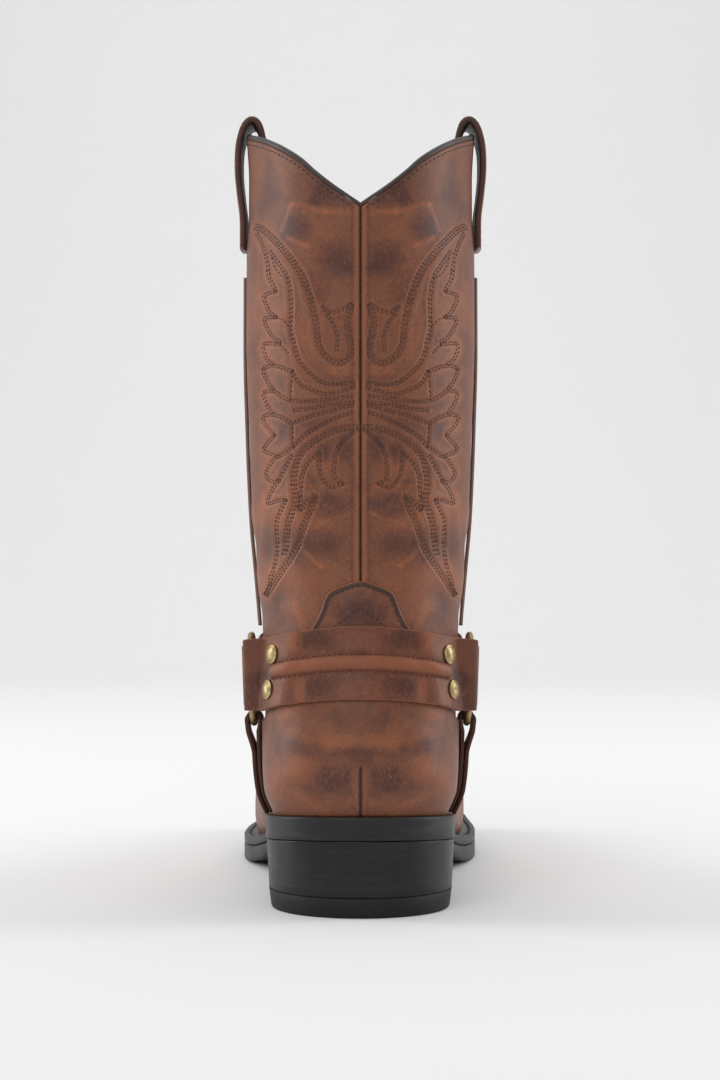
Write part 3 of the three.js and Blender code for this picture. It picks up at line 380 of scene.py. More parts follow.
def new_piece(name, points, faces, material, smooth=True):
    mesh = bpy.data.meshes.new(name)
    mesh.from_pydata(place(points).reshape(-1, 3).tolist(), [], faces)
    mesh.validate()
    mesh.polygons.foreach_set("use_smooth", [smooth] * len(mesh.polygons))
    mesh.materials.append(material)
    piece = bpy.data.objects.new(name, mesh)
    bpy.context.scene.collection.objects.link(piece)
    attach(piece, "root")
    return piece


def grid_faces(rows, columns, loop_rows=False, loop_columns=False, start=0, flip=False):
    r = np.arange(rows if loop_rows else rows - 1)
    c = np.arange(columns if loop_columns else columns - 1)
    r, c = np.meshgrid(r, c, indexing="ij")
    r2, c2 = (r + 1) % rows, (c + 1) % columns
    quads = [r * columns + c, r * columns + c2, r2 * columns + c2, r2 * columns + c]
    if flip:
        quads.reverse()
    return (np.stack(quads, -1).reshape(-1, 4) + start).tolist()


def recalculate(piece):
    """Turn every face outwards on a closed piece."""
    shell = bmesh.new()
    shell.from_mesh(piece.data)
    bmesh.ops.remove_doubles(shell, verts=shell.verts, dist=1e-7)
    bmesh.ops.recalc_face_normals(shell, faces=shell.faces)
    shell.to_mesh(piece.data)
    shell.free()


def slab(name, outer, inner, material, loop_columns=False):
    """A closed piece between an outer and an inner grid of the same size."""
    rows, columns = outer.shape[:2]
    count = rows * columns
    faces = grid_faces(rows, columns, False, loop_columns)
    faces += grid_faces(rows, columns, False, loop_columns, count, True)
    spans = range(columns if loop_columns else columns - 1)
    for c in spans:
        d = (c + 1) % columns
        faces.append([d, c, count + c, count + d])
        top = (rows - 1) * columns
        faces.append([top + c, top + d, count + top + d, count + top + c])
    if not loop_columns:
        for r in range(rows - 1):
            a, b = r * columns, (r + 1) * columns
            faces.append([a, b, count + b, count + a])
            a, b = a + columns - 1, b + columns - 1
            faces.append([b, a, count + a, count + b])
    points = np.concatenate([outer.reshape(-1, 3), inner.reshape(-1, 3)])
    piece = new_piece(name, points, faces, material)
    recalculate(piece)
    return piece


def tube(name, rows, material, looped=False):
    """A closed piece from rows of points that each run round a section."""
    rows = np.asarray(rows)
    n, m = rows.shape[:2]
    faces = grid_faces(n, m, looped, True)
    if not looped:
        faces.append(list(range(m))[::-1])
        faces.append(list(range((n - 1) * m, n * m)))
    piece = new_piece(name, rows.reshape(-1, 3), faces, material)
    recalculate(piece)
    return piece


# Shader maths and materials
class Value:
    """A number that varies over a surface. Arithmetic on it adds Math nodes."""

    def __init__(self, finish, socket):
        self.finish = finish
        self.socket = socket

    def maths(self, operation, *others):
        sockets = dict(enumerate((self,) + others))
        return self.finish.add("ShaderNodeMath", {"operation": operation}, sockets)

    def __add__(self, other):
        return self.maths("ADD", other)

    __radd__ = __add__

    def __mul__(self, other):
        return self.maths("MULTIPLY", other)

    __rmul__ = __mul__

    def __sub__(self, other):
        return self.maths("SUBTRACT", other)

    def __rsub__(self, other):
        return self.finish.add("ShaderNodeMath", {"operation": "SUBTRACT"}, {0: other, 1: self})

    def __abs__(self):
        return self.maths("ABSOLUTE")

    def __pow__(self, other):
        return self.maths("POWER", other)

    def clamp(self):
        return self.finish.add("ShaderNodeClamp", {}, {0: self})

    def soft(self, low, high):
        """Rises smoothly from 0 at low to 1 at high; falls when low is the larger."""
        sockets = {0: self, 1: low, 2: high, 3: 0.0, 4: 1.0}
        return self.finish.add("ShaderNodeMapRange", {"interpolation_type": "SMOOTHSTEP"}, sockets)


def colour(red, green, blue):
    """A colour as the eye reads it from a screen, 0 to 255, in linear light."""
    def linear(v):
        v = v / 255
        return v / 12.92 if v <= 0.04045 else ((v + 0.055) / 1.055) ** 2.4
    return (linear(red), linear(green), linear(blue), 1.0)


class Finish:
    """A material under construction."""

    def __init__(self, name, **shader):
        self.material = bpy.data.materials.new(name)
        self.material.use_nodes = True
        self.tree = self.material.node_tree
        self.shader = self.tree.nodes["Principled BSDF"]
        for socket, value in shader.items():
            self.shader.inputs[socket.replace("_", " ")].default_value = value
        where = self.tree.nodes.new("ShaderNodeTexCoord")
        self.here = Value(self, where.outputs["Object"])

    def add(self, kind, settings, sockets, output=0):
        node = self.tree.nodes.new(kind)
        for name, value in settings.items():
            setattr(node, name, value)
        for key, value in sockets.items():
            if isinstance(value, Value):
                self.tree.links.new(value.socket, node.inputs[key])
            else:
                node.inputs[key].default_value = value
        return Value(self, node.outputs[output])

    def axes(self, where=None):
        parts = self.add("ShaderNodeSeparateXYZ", {}, {0: where or self.here})
        node = parts.socket.node
        return [Value(self, s) for s in node.outputs]

    def join(self, x, y, z):
        return self.add("ShaderNodeCombineXYZ", {}, {0: x, 1: y, 2: z})

    def scaled(self, where, scale, turn=(0, 0, 0)):
        return self.add("ShaderNodeMapping", {}, {"Vector": where, "Scale": scale, "Rotation": turn})

    def noise(self, where, scale, detail=3.0, roughness=0.5, distortion=0.0):
        sockets = {"Vector": where, "Scale": scale, "Detail": detail, "Roughness": roughness,
                   "Distortion": distortion}
        return self.add("ShaderNodeTexNoise", {}, sockets)

    def cells(self, where, scale, feature="F1", smooth=None):
        sockets = {"Vector": where, "Scale": scale}
        if smooth is not None:
            sockets["Smoothness"] = smooth
        return self.add("ShaderNodeTexVoronoi", {"feature": feature}, sockets)

    def attribute(self, name):
        return self.add("ShaderNodeAttribute", {"attribute_name": name}, {}, "Fac")

    def mix(self, amount, first, second, blend="MIX"):
        node = self.tree.nodes.new("ShaderNodeMix")
        node.data_type, node.blend_type = "RGBA", blend
        for key, value in ((0, amount), (6, first), (7, second)):
            if isinstance(value, Value):
                self.tree.links.new(value.socket, node.inputs[key])
            else:
                node.inputs[key].default_value = value
        return Value(self, node.outputs[2])

    def bump(self, height, depth, strength=1.0, under=None):
        sockets = {"Strength": strength, "Distance": depth, "Height": height}
        if under is not None:
            sockets["Normal"] = under
        return self.add("ShaderNodeBump", {}, sockets)

    def set(self, **links):
        for socket, value in links.items():
            self.tree.links.new(value.socket, self.shader.inputs[socket.replace("_", " ")])
        return self.material


def leather(name, deep, middle, warm, worn, mottle, seed, patches, streaks, gloss):
    """Waxed brown leather, mottled alike on both sides of the back seam and paler where it is pulled.

    Patches and streaks lie behind. The light-and-shade attribute is above 0 where pull-up leather pales as it
    is stretched, where a highlight is painted on ridges, folds, puckers and the bead, and along cut edges; it
    is below 0 where shade is painted in creases, grooves and under the thread. The edge attribute is 1 on
    cut, inked or flesh-side leather and on a darker band inside the counter's top edge.
    """
    f = Finish(name, IOR=1.45, Coat_Roughness=0.3, Specular_IOR_Level=0.32)
    x, y, z = f.axes()
    paired = f.join(abs(x) + seed, y + x * y.soft(0.0, 0.11) * 0.55, z)
    cloud = f.noise(paired, 34.0, 3.0, 0.55, 0.8)
    fine_cloud = f.noise(paired, 120.0, 4.0, 0.62, 0.8)
    speck = f.noise(f.here, 1300.0, 2.0, 0.6)
    drift = f.noise(f.scaled(paired, (1.0, 1.0, 0.35)), 60.0, 2.0, 0.5, 1.2)

    # Wrinkles as fine as a fingerprint's, a millimetre apart, in patches
    wrinkle = f.add("ShaderNodeTexWave", {"wave_type": "BANDS", "bands_direction": "DIAGONAL"},
                    {"Vector": paired, "Scale": 430.0, "Distortion": 30.0, "Detail": 3.0,
                     "Detail Scale": 0.27, "Detail Roughness": 0.52})
    wrinkled = f.noise(paired, 48.0, 2.0, 0.5, 0.4).soft(0.46, 0.64)
    grit = f.noise(f.here, 620.0, 3.0, 0.7)
    pebble = f.cells(f.here, 1500.0, "SMOOTH_F1", 0.6)
    fine_pebble = f.noise(f.here, 2100.0, 3.0, 0.6)

    behind = y.soft(0.04, 0.01)
    loose = mottle * (1.6 - behind * 0.6)
    dark = cloud.soft(0.5, 0.34) * loose
    light = cloud.soft(0.55, 0.72) * loose
    ragged = fine_cloud * 0.9 - 0.45 + (cloud - 0.5) * 1.2
    for px, pz, rx, rz, strength in patches:
        dx = (abs(x) - px * MM) * (1 / (rx * MM))
        dz = (z - pz * MM) * (1 / (rz * MM))
        spot = (dx * dx + dz * dz + ragged).soft(1.3, 0.0) * behind * abs(strength)
        if strength > 0:
            dark = dark + spot
        else:
            light = light + spot
    waver = (drift - 0.5) * 0.006
    for x0, z0, x1, z1, width, strength in streaks:
        bx, bz = (x1 - x0) * MM, (z1 - z0) * MM
        across = abs(x) + waver - x0 * MM
        up = z + waver - z0 * MM
        along = ((across * bx + up * bz) * (1 / (bx * bx + bz * bz))).clamp()
        off_x = across - along * bx
        off_z = up - along * bz
        near = (off_x * off_x + off_z * off_z) ** 0.5
        spot = near.soft(width * MM, 0.0) * behind * abs(strength) * (0.4 + fine_cloud)
        if strength > 0:
            dark = dark + spot
        else:
            light = light + spot
    crest = f.attribute("crest")
    base = f.mix(dark.clamp(), middle, deep)
    base = f.mix((light * 0.7).clamp(), base, warm)
    broken = wrinkled * grit.soft(0.3, 0.62) * worn
    base = f.mix((wrinkle.soft(0.6, 0.95) * broken * 0.5).clamp(), base, warm)
    base = f.mix((wrinkle.soft(0.35, 0.05) * broken * 0.4).clamp(), base, deep)
    base = f.mix((fine_cloud.soft(0.44, 0.3) * 0.4).clamp(), base, deep)
    base = f.mix((grit.soft(0.46, 0.3) * 0.45).clamp(), base, deep)
    base = f.mix((grit.soft(0.55, 0.72) * 0.35).clamp(), base, warm)
    base = f.mix((speck.soft(0.56, 0.75) * 0.35).clamp(), base, warm)
    base = f.mix((pebble.soft(0.55, 0.85) * 0.35).clamp(), base, deep)
    # Painted highlight where the light-and-shade attribute is above 0, painted shade (dark brown) where it is
    # below 0
    base = f.mix(crest.clamp() * 0.8, base, warm)
    base = f.mix((crest * -0.85).clamp(), base, colour(52, 30, 24))
    base = f.mix((f.attribute("edge") * 0.88).clamp(), base, colour(60, 42, 37))

    surface = wrinkle * broken * 0.5 + (1 - pebble) * 0.34 + fine_pebble * 0.3 + grit * 0.4
    low = f.bump(cloud + fine_cloud * 0.25, 0.0006, 0.3)
    normal = f.bump(surface, 0.00016, 0.7, low)
    rough = gloss + (fine_cloud - 0.5) * 0.2 + pebble * 0.06 + dark.clamp() * -0.05
    return f.set(Base_Color=base, Roughness=rough.clamp(), Normal=normal,
                 Coat_Weight=(0.05 + (cloud - 0.5) * 0.1).clamp())


def plain_leather(name, tone, edge_tone, grain=1300.0, gloss=0.6):
    """Plain leather of the side piping and the collar binding."""
    f = Finish(name, IOR=1.45)
    fibre = f.noise(f.here, grain, 4.0, 0.65)
    cloud = f.noise(f.here, 120.0, 3.0, 0.6)
    worn = (fibre.soft(0.35, 0.7) * 0.6 + cloud.soft(0.45, 0.7) * 0.3).clamp()
    base = f.mix(worn, tone, edge_tone)
    return f.set(Base_Color=base, Roughness=(gloss + (fibre - 0.5) * 0.2).clamp(),
                 Normal=f.bump(fibre + cloud * 0.4, 0.00018, 0.5))


def thread(name, tone, pale):
    f = Finish(name, IOR=1.4, Sheen_Weight=0.25)
    twist = f.noise(f.here, 2600.0, 2.0, 0.5)
    base = f.mix(twist.soft(0.35, 0.7), tone, pale)
    return f.set(Base_Color=base, Roughness=(0.62 + twist * 0.2).clamp(),
                 Normal=f.bump(twist, 0.0001, 0.6))


def aged_brass(name):
    f = Finish(name)
    cloud = f.noise(f.here, 420.0, 3.0, 0.6)
    scratch = f.noise(f.scaled(f.here, (1.0, 0.2, 1.0)), 1800.0, 2.0, 0.5)
    base = f.mix(cloud.soft(0.4, 0.68), colour(178, 160, 120), colour(126, 106, 70))
    base = f.mix(f.attribute("rim").clamp() * 0.9, base, colour(92, 70, 40))
    return f.set(Base_Color=base, Metallic=(1 - cloud.soft(0.55, 0.8) * 0.3).clamp(),
                 Roughness=(0.26 + cloud * 0.26 + scratch * 0.08).clamp(),
                 Normal=f.bump(scratch + cloud * 0.6, 0.00008, 0.4))


def black_edge(name, tone, gloss, lines, line_strength):
    """Inked and brushed sole or heel edge, with fine level lines left by the burnishing wheel."""
    f = Finish(name, IOR=1.45, Coat_Roughness=0.25, Specular_IOR_Level=0.3)
    level = f.scaled(f.here, (0.05, 0.05, 1.0))
    fine = f.noise(level, lines, 3.0, 0.7)
    broad = f.noise(level, lines * 0.28, 2.0, 0.6)
    cloud = f.noise(f.here, 70.0, 3.0, 0.6)
    grit = f.noise(f.here, 1500.0, 3.0, 0.6)
    pale = (tone[0] * 2.3, tone[1] * 2.3, tone[2] * 2.35, 1.0)
    brushed = fine.soft(0.52, 0.7) * 0.5 + broad.soft(0.52, 0.66) * 0.3
    base = f.mix(brushed.clamp(), tone, pale)
    base = f.mix((cloud.soft(0.5, 0.75) * 0.25 + grit.soft(0.6, 0.8) * 0.15).clamp(), base, pale)
    surface = fine * line_strength + broad * line_strength * 0.7 + grit * 0.18
    rough = gloss + (cloud - 0.5) * 0.14 + (fine - 0.5) * 0.2
    return f.set(Base_Color=base, Roughness=rough.clamp(), Normal=f.bump(surface, 0.00012, 0.6),
                 Coat_Weight=(cloud * 0.1).clamp())


def rubber(name, tone):
    f = Finish(name, IOR=1.45, Specular_IOR_Level=0.3)
    grit = f.noise(f.here, 1100.0, 3.0, 0.65)
    cloud = f.noise(f.here, 60.0, 3.0, 0.6)
    pale = (tone[0] * 1.8, tone[1] * 1.8, tone[2] * 1.8, 1.0)
    base = f.mix((cloud.soft(0.4, 0.75) * 0.4 + grit.soft(0.55, 0.8) * 0.2).clamp(), tone, pale)
    return f.set(Base_Color=base, Roughness=(0.62 + (grit - 0.5) * 0.2).clamp(),
                 Normal=f.bump(grit, 0.00015, 0.5))


def lining_leather(name):
    f = Finish(name, IOR=1.42)
    cloud = f.noise(f.here, 45.0, 3.0, 0.6)
    pore = f.cells(f.here, 1300.0, "SMOOTH_F1", 0.5)
    base = f.mix(cloud.soft(0.35, 0.7), colour(150, 124, 96), colour(122, 97, 72))
    base = f.mix((pore.soft(0.5, 0.85) * 0.4).clamp(), base, colour(96, 74, 54))
    return f.set(Base_Color=base, Roughness=(0.68 + (cloud - 0.5) * 0.15).clamp(),
                 Normal=f.bump((1 - pore) + cloud * 0.5, 0.00015, 0.5))


# Colours of the leather, and what its wax leaves. Patches: across from the seam, up, half width, half
# height, strength. Streaks: across and up at both ends, width, strength. A strength below 0 is paler.
DEEP = colour(80, 49, 43)
MIDDLE = colour(119, 74, 54)
WARM = colour(158, 94, 60)
SHAFT_PATCHES = [
    (25, 269, 7, 8, 0.8), (11, 281, 8, 6, 0.7), (8.5, 256, 8, 9, 0.75), (35, 288, 4, 14, 0.5),
    (21, 285, 9, 9, 0.35), (16, 245, 6, 8, 0.55), (30, 226, 3.5, 5, 0.6), (30, 209, 4, 3.5, 0.6),
    (30, 200, 4.5, 3, 0.5), (29, 190, 4.5, 4, 0.6), (6, 183, 4, 6, 0.6), (14, 181, 4, 4, 0.5),
    (30, 175, 4, 4, 0.5), (9, 209.5, 9, 3, 0.5), (17, 192, 8, 3, 0.35), (11, 160, 10, 6, 0.8),
    (14, 147, 10, 6, 0.65), (22, 138, 5, 5, 0.4), (31, 119, 4, 7, 0.5), (36, 148, 3, 12, 0.4),
    (8, 213, 6, 3, -0.6), (38, 224, 3.5, 5, -0.6), (38, 205, 3.5, 4, -0.6), (38, 192, 3.5, 4, -0.5),
    (37, 178, 4, 5, -0.4), (33, 236, 3, 7, -0.5), (24, 122, 8, 8, -0.3), (5, 290, 5, 8, -0.2),
]
SHAFT_STREAKS = [
    (31.5, 269.5, 27.3, 279, 1.6, -0.8), (27.3, 279, 13.5, 274.5, 1.8, -0.6),
    (13.5, 274.5, 4, 274, 2.2, -0.7), (29, 266, 20, 261, 1.8, -0.7), (3, 168, 24, 168.5, 1.6, -0.8),
    (22, 142, 15, 136, 1.8, -0.8), (15, 136, 9, 137, 1.6, -0.5), (26, 122, 22, 110, 2.4, -0.7),
    (39, 165, 41, 140, 1.6, -0.7), (41, 262, 42, 232, 2.0, -0.4), (3, 158, 17, 152, 1.6, -0.5),
    (43, 215, 44, 180, 2.0, -0.3), (32, 292, 36, 302, 2.4, -0.4), (37, 262, 40, 280, 1.4, 0.5),
]
FOOT_PATCHES = [
    (22, 68, 8, 6, 0.7), (28, 67, 7, 5, 0.5), (6, 79, 8, 5, 0.6), (10, 54, 8, 7, 0.6),
    (18, 52, 8, 8, 0.45), (8, 69, 14, 3, -0.5), (28, 77, 6, 6, -0.7), (24, 57, 6, 7, -0.5),
    (26, 71, 7, 3, -0.5), (3, 118, 8, 6, 0.4), (33, 52, 5, 10, -0.3),
]
STRAP_PATCHES = [
    (17, 107, 9, 5, 0.8), (16, 90, 9, 5, 0.7), (34, 104, 6, 5, -0.6), (34, 86, 3, 9, -0.6),
    (24, 89, 3, 7, -0.7), (26, 108, 4, 6, -0.6), (4, 88, 7, 4, -0.35), (38, 92, 5, 5, 0.6),
    (3, 108, 6, 5, -0.25),
]

shaft_leather = leather("shaft_leather", DEEP, MIDDLE, WARM, 0.8, 0.4, 0.0, SHAFT_PATCHES, SHAFT_STREAKS, 0.5)
foot_leather = leather("foot_leather", DEEP, MIDDLE, WARM, 0.9, 0.6, 0.31, FOOT_PATCHES, (), 0.44)
strap_leather = leather("strap_leather", colour(68, 40, 34), colour(104, 62, 46), colour(148, 86, 56),
                        0.9, 0.6, 0.17, STRAP_PATCHES, (), 0.46)
piping_leather = plain_leather("piping_leather", colour(86, 54, 40), colour(118, 78, 58), 900.0, 0.55)
bead_leather = plain_leather("bead_leather", colour(42, 32, 29), colour(64, 51, 46), 900.0, 0.42)
dark_thread = thread("dark_thread", colour(26, 16, 14), colour(52, 34, 28))
brown_thread = thread("brown_thread", colour(62, 31, 23), colour(106, 58, 40))
red_thread = thread("red_thread", colour(80, 32, 24), colour(120, 56, 40))
brass = aged_brass("antique_brass")
heel_black = black_edge("heel_stack", colour(27, 27, 28), 0.4, 1500.0, 1.0)
sole_black = black_edge("sole_edge", colour(34, 34, 34), 0.46, 900.0, 0.5)
lift_black = rubber("top_lift_rubber", colour(28, 28, 29))
lining = lining_leather("lining")


# Thread rows, laid along a path by a tree of geometry nodes
class Tree:
    """A tree of geometry nodes under construction."""

    def __init__(self, name):
        self.group = bpy.data.node_groups.new(name, "GeometryNodeTree")
        self.group.interface.new_socket("Geometry", in_out="OUTPUT", socket_type="NodeSocketGeometry")
        self.entries = {}

    def entry(self, name, kind, default=None):
        socket = self.group.interface.new_socket(name, in_out="INPUT", socket_type=kind)
        if default is not None:
            socket.default_value = default
        self.entries[name] = socket.identifier

    def add(self, kind, settings, sockets, output=0):
        node = self.group.nodes.new(kind)
        for name, value in settings.items():
            setattr(node, name, value)
        for key, value in sockets.items():
            if isinstance(value, bpy.types.NodeSocket):
                self.group.links.new(value, node.inputs[key])
            else:
                node.inputs[key].default_value = value
        return node.outputs[output]


def thread_tree():
    tree = Tree("thread_row")
    tree.entry("Geometry", "NodeSocketGeometry")
    for name, default in (("Pitch", 0.0016), ("Length", 0.0011), ("Thickness", 0.0005)):
        tree.entry(name, "NodeSocketFloat", default)
    tree.entry("Thread", "NodeSocketMaterial")
    source = tree.group.nodes.new("NodeGroupInput").outputs
    path = tree.add("GeometryNodeMeshToCurve", {}, {0: source["Geometry"]})
    spaced = tree.add("GeometryNodeResampleCurve", {"mode": "LENGTH"},
                      {"Curve": path, "Length": source["Pitch"]})
    along = tree.add("GeometryNodeInputTangent", {}, {})
    up = tree.add("GeometryNodeInputNamedAttribute", {"data_type": "FLOAT_VECTOR"}, {"Name": "up"})
    turned = tree.add("FunctionNodeAlignRotationToVector", {"axis": "X"}, {"Vector": along})
    turned = tree.add("FunctionNodeAlignRotationToVector", {"axis": "Z", "pivot_axis": "X"},
                      {"Rotation": turned, "Vector": up})
    grain = tree.add("GeometryNodeMeshUVSphere", {}, {"Segments": 6, "Rings": 4, "Radius": 0.5})
    size = tree.add("ShaderNodeCombineXYZ", {},
                    {0: source["Length"], 1: source["Thickness"], 2: source["Thickness"]})
    shaped = tree.add("GeometryNodeTransform", {}, {"Geometry": grain, "Scale": size})
    rows = tree.add("GeometryNodeInstanceOnPoints", {},
                    {"Points": spaced, "Instance": shaped, "Rotation": turned})
    real = tree.add("GeometryNodeRealizeInstances", {}, {0: rows})
    smooth = tree.add("GeometryNodeSetShadeSmooth", {}, {"Geometry": real})
    finished = tree.add("GeometryNodeSetMaterial", {},
                        {"Geometry": smooth, "Material": source["Thread"]})
    end = tree.group.nodes.new("NodeGroupOutput")
    tree.group.links.new(finished, end.inputs[0])
    return tree


threads = thread_tree()


def baked(piece, tree, values, name):
    """The result of a tree on a piece, as a plain mesh."""
    maker = piece.modifiers.new("making", "NODES")
    maker.node_group = tree.group
    for key, value in values.items():
        maker[tree.entries[key]] = value
    bpy.context.view_layer.update()
    seen = piece.evaluated_get(bpy.context.evaluated_depsgraph_get())
    mesh = bpy.data.meshes.new_from_object(seen)
    bpy.data.objects.remove(piece)
    made = bpy.data.objects.new(name, mesh)
    bpy.context.scene.collection.objects.link(made)
    return made


def stitches(name, rows, material, pitch=1.6, length=1.15, thick=0.5):
    """Rows are pairs of points and the outward directions there, in millimetres."""
    points, edges, ups = [], [], []
    for path, out in rows:
        start = len(points)
        points += place(path).tolist()
        ups += np.asarray(out, float).reshape(-1, 3).tolist()
        edges += [(start + i, start + i + 1) for i in range(len(path) - 1)]
    mesh = bpy.data.meshes.new(name + "_path")
    mesh.from_pydata(points, edges, [])
    up = mesh.attributes.new("up", "FLOAT_VECTOR", "POINT")
    up.data.foreach_set("vector", np.asarray(ups, float).ravel())
    path = bpy.data.objects.new(name + "_path", mesh)
    bpy.context.scene.collection.objects.link(path)
    piece = baked(path, threads, {"Pitch": pitch * MM, "Length": length * MM,
                                  "Thickness": thick * MM, "Thread": material}, name)
    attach(piece, "root")
    return piece


def smoothed(points, step=0.8):
    """A flowing curve through a few charted points, with points about a step apart."""
    p = np.asarray(points, float)
    ends = np.vstack([2 * p[0] - p[1], p, 2 * p[-1] - p[-2]])
    out = []
    for i in range(1, len(ends) - 2):
        a, b, c, d = ends[i - 1:i + 3]
        n = max(2, int(np.linalg.norm(c - b) / step))
        t = np.arange(n)[:, None] / n
        out.append(0.5 * (2 * b + (c - a) * t + (2 * a - 5 * b + 4 * c - d) * t ** 2
                          + (3 * b - a - 3 * c + d) * t ** 3))
    return np.vstack(out + [p[-1:]])


def beside(points, shift):
    """A flat path moved sideways by a shift."""
    run = np.gradient(points, axis=0)
    run /= np.maximum(np.linalg.norm(run, axis=1, keepdims=True), 1e-9)
    return points + np.stack([-run[:, 1], run[:, 0]], 1) * shift


def on_leather(x, z, offset):
    """Where points of the boot seen from behind lie on its leather, with directions and angles."""
    x, z = np.broadcast_arrays(np.asarray(x, float), np.asarray(z, float))
    reach = np.minimum(np.abs(x), half_at(z) * 0.998)
    y = solve(lambda at: half_width(at, z) - reach, back_at(z), middle_at(z))
    level = low_level_of(y, z)
    turn = angle_of(y, level)
    over = z > HIGH_LEVEL
    if over.any():
        along = (y - back_at(z)) / (front_at(z) - back_at(z))
        turn = np.where(over, solve(lambda t: share(t) - along, np.zeros(x.shape), math.pi), turn)
        rise = (z - HIGH_LEVEL) / (collar_edge(turn) - HIGH_LEVEL)
        level = np.where(over, np.minimum(2 + rise, 3), level)
    angle = turn * np.where(x < 0, -1, 1)
    return skin(level, angle, offset), outward(level, angle), angle


# The ornament of the shaft: left half seen from behind, across from the seam and up, then its rows
ORNAMENT = [
    (3, [(42.6, 273.2), (38.9, 270.7), (34.2, 265.5), (29.7, 260.2), (23.7, 251.9), (19.9, 242.1),
         (17.3, 231.4), (16.5, 223.3), (13.3, 218.3), (8.1, 215.9), (4.0, 218.7), (3.8, 222.5),
         (5.2, 231.3), (4.1, 236.8), (3.5, 238.5)]),
    (2, [(14.9, 238.0), (11.2, 235.5), (7.6, 236.6), (3.5, 238.5)]),
    (2, [(14.9, 238.0), (13.0, 234.4), (10.4, 230.3), (9.1, 226.0), (9.3, 220.9)]),
    (2, [(41.7, 270.1), (39.2, 264.8), (37.0, 257.2), (36.1, 251.0), (33.4, 245.3)]),
    (2, [(35.8, 261.1), (31.2, 254.3), (28.5, 249.4), (27.3, 240.8), (27.5, 231.0), (26.4, 225.5),
         (24.4, 218.1), (20.3, 212.8), (15.0, 208.6), (9.2, 207.6), (2.5, 208.5)]),
    (1, [(35.1, 258.4), (33.8, 254.8), (31.2, 251.1), (28.9, 250.3)]),
    (2, [(26.8, 213.4), (23.8, 208.3), (19.1, 205.8), (13.1, 203.9), (7.8, 205.0), (2.3, 206.7)]),
    (2, [(27.7, 202.1), (22.7, 201.3), (15.0, 201.7), (3.5, 203.0)]),
    (2, [(26.2, 198.0), (19.4, 198.7), (11.3, 199.9), (2.6, 200.7)]),
    (2, [(25.6, 193.3), (18.0, 196.0), (9.2, 198.1), (2.9, 199.6)]),
    (2, [(26.2, 184.0), (21.5, 188.5), (15.0, 192.2), (7.8, 195.3), (3.3, 196.7)]),
    (3, [(1.2, 191.1), (9.8, 189.8), (18.0, 185.9), (23.9, 180.2), (26.0, 173.3), (26.3, 167.9),
         (25.4, 162.8), (26.9, 157.9), (29.3, 150.1), (30.6, 141.3)]),
    (2, [(16.2, 181.5), (20.9, 176.7), (23.1, 171.4), (23.6, 164.7), (23.9, 159.0)]),
    (3, [(23.9, 159.0), (20.1, 162.5), (17.7, 164.2), (19.8, 158.4), (23.3, 150.1), (26.3, 142.5),
         (30.6, 135.4), (38.2, 124.7)]),
    (2, [(29.6, 162.8), (33.0, 154.6), (33.8, 145.7), (34.3, 136.5), (36.5, 128.5), (38.2, 124.7)]),
    (2, [(16.2, 181.5), (15.9, 174.4), (13.9, 169.3), (11.3, 167.7), (7.0, 168.9)]),
    (2, [(1.2, 190.0), (6.4, 186.0), (9.6, 180.6), (10.2, 172.0), (7.0, 168.9)]),
    (1, [(26.8, 213.0), (27.5, 203.7)]),
    (1, [(26.8, 193.0), (26.7, 183.6)]),
    (2, [(33.4, 245.3), (38.3, 244.0), (36.3, 237.8), (33.4, 234.9)]),
    (2, [(33.4, 235.1), (38.3, 234.8), (35.1, 227.8), (31.8, 225.1)]),
    (1, [(33.4, 235.1), (30.1, 233.2), (27.7, 230.3)]),
    (2, [(31.8, 224.2), (38.5, 224.9), (37.6, 219.4), (34.9, 216.7)]),
    (1, [(31.8, 224.2), (28.5, 220.7)]),
    (2, [(27.4, 213.4), (31.2, 215.1), (35.1, 216.0), (39.0, 215.0), (36.8, 209.4), (34.7, 206.9)]),
    (2, [(28.0, 201.9), (31.3, 203.8), (34.6, 206.1), (38.7, 205.7), (37.7, 201.6), (35.1, 197.4)]),
    (2, [(26.8, 192.8), (30.4, 195.0), (35.1, 196.8), (39.2, 196.2), (37.7, 192.5), (34.1, 188.5)]),
    (2, [(34.1, 188.5), (38.8, 183.5), (36.0, 181.4), (32.3, 180.2), (26.8, 183.5)]),
    (2, [(32.3, 180.2), (34.8, 178.8), (37.9, 172.8), (33.1, 170.4), (27.1, 180.3)]),
    (2, [(32.3, 170.4), (35.3, 166.9), (37.0, 161.8), (31.9, 162.9), (29.6, 162.8)]),
]
ROW_APART = 0.95
shaft_rows = []
for count, charted in ORNAMENT:
    flowing = smoothed(charted)
    for k in range(count):
        row = beside(flowing, (k - (count - 1) / 2) * ROW_APART)
        shaft_rows += [row * [side, 1] for side in (-1, 1)]
row_points = np.vstack(shaft_rows)
near_rows = kdtree.KDTree(len(row_points))
for i, (across, up) in enumerate(row_points):
    near_rows.insert((across, up, 0), i)
near_rows.balance()

# Creases of the shaft: across and up at both ends, depth, width, both sides alike
SHAFT_CREASES = [
    ((1.4, 167.3), (22.2, 167.8), -0.35, 1.6), ((6, 172), (22, 176), 0.25, 3.0),
    ((4, 152), (20, 158), -0.3, 2.4), ((10, 141), (30, 133), 0.3, 4.0),
    ((24, 150), (40, 138), -0.35, 3.6), ((28, 126), (44, 112), -0.45, 3.2),
    ((34, 136), (45, 120), 0.35, 3.0), ((8, 262), (26, 276), 0.25, 4.0),
    ((30, 268), (42, 292), -0.3, 3.6), ((6, 250), (14, 262), -0.22, 3.0),
    ((38, 254), (45, 226), 0.3, 4.0), ((40, 214), (46, 180), -0.35, 3.6),
    ((38, 160), (46, 146), 0.3, 3.2), ((20, 116), (36, 121), 0.28, 2.6),
]
# Creases in front, where the ankle bends: heights at the middle and at the side, depth and width
ANKLE_CREASES = [
    (158, 146, -1.5, 5.0), (149, 140, 1.0, 4.5), (142, 134, -1.2, 4.0), (168, 158, 0.8, 6.0),
    (178, 170, -0.6, 5.0),
]
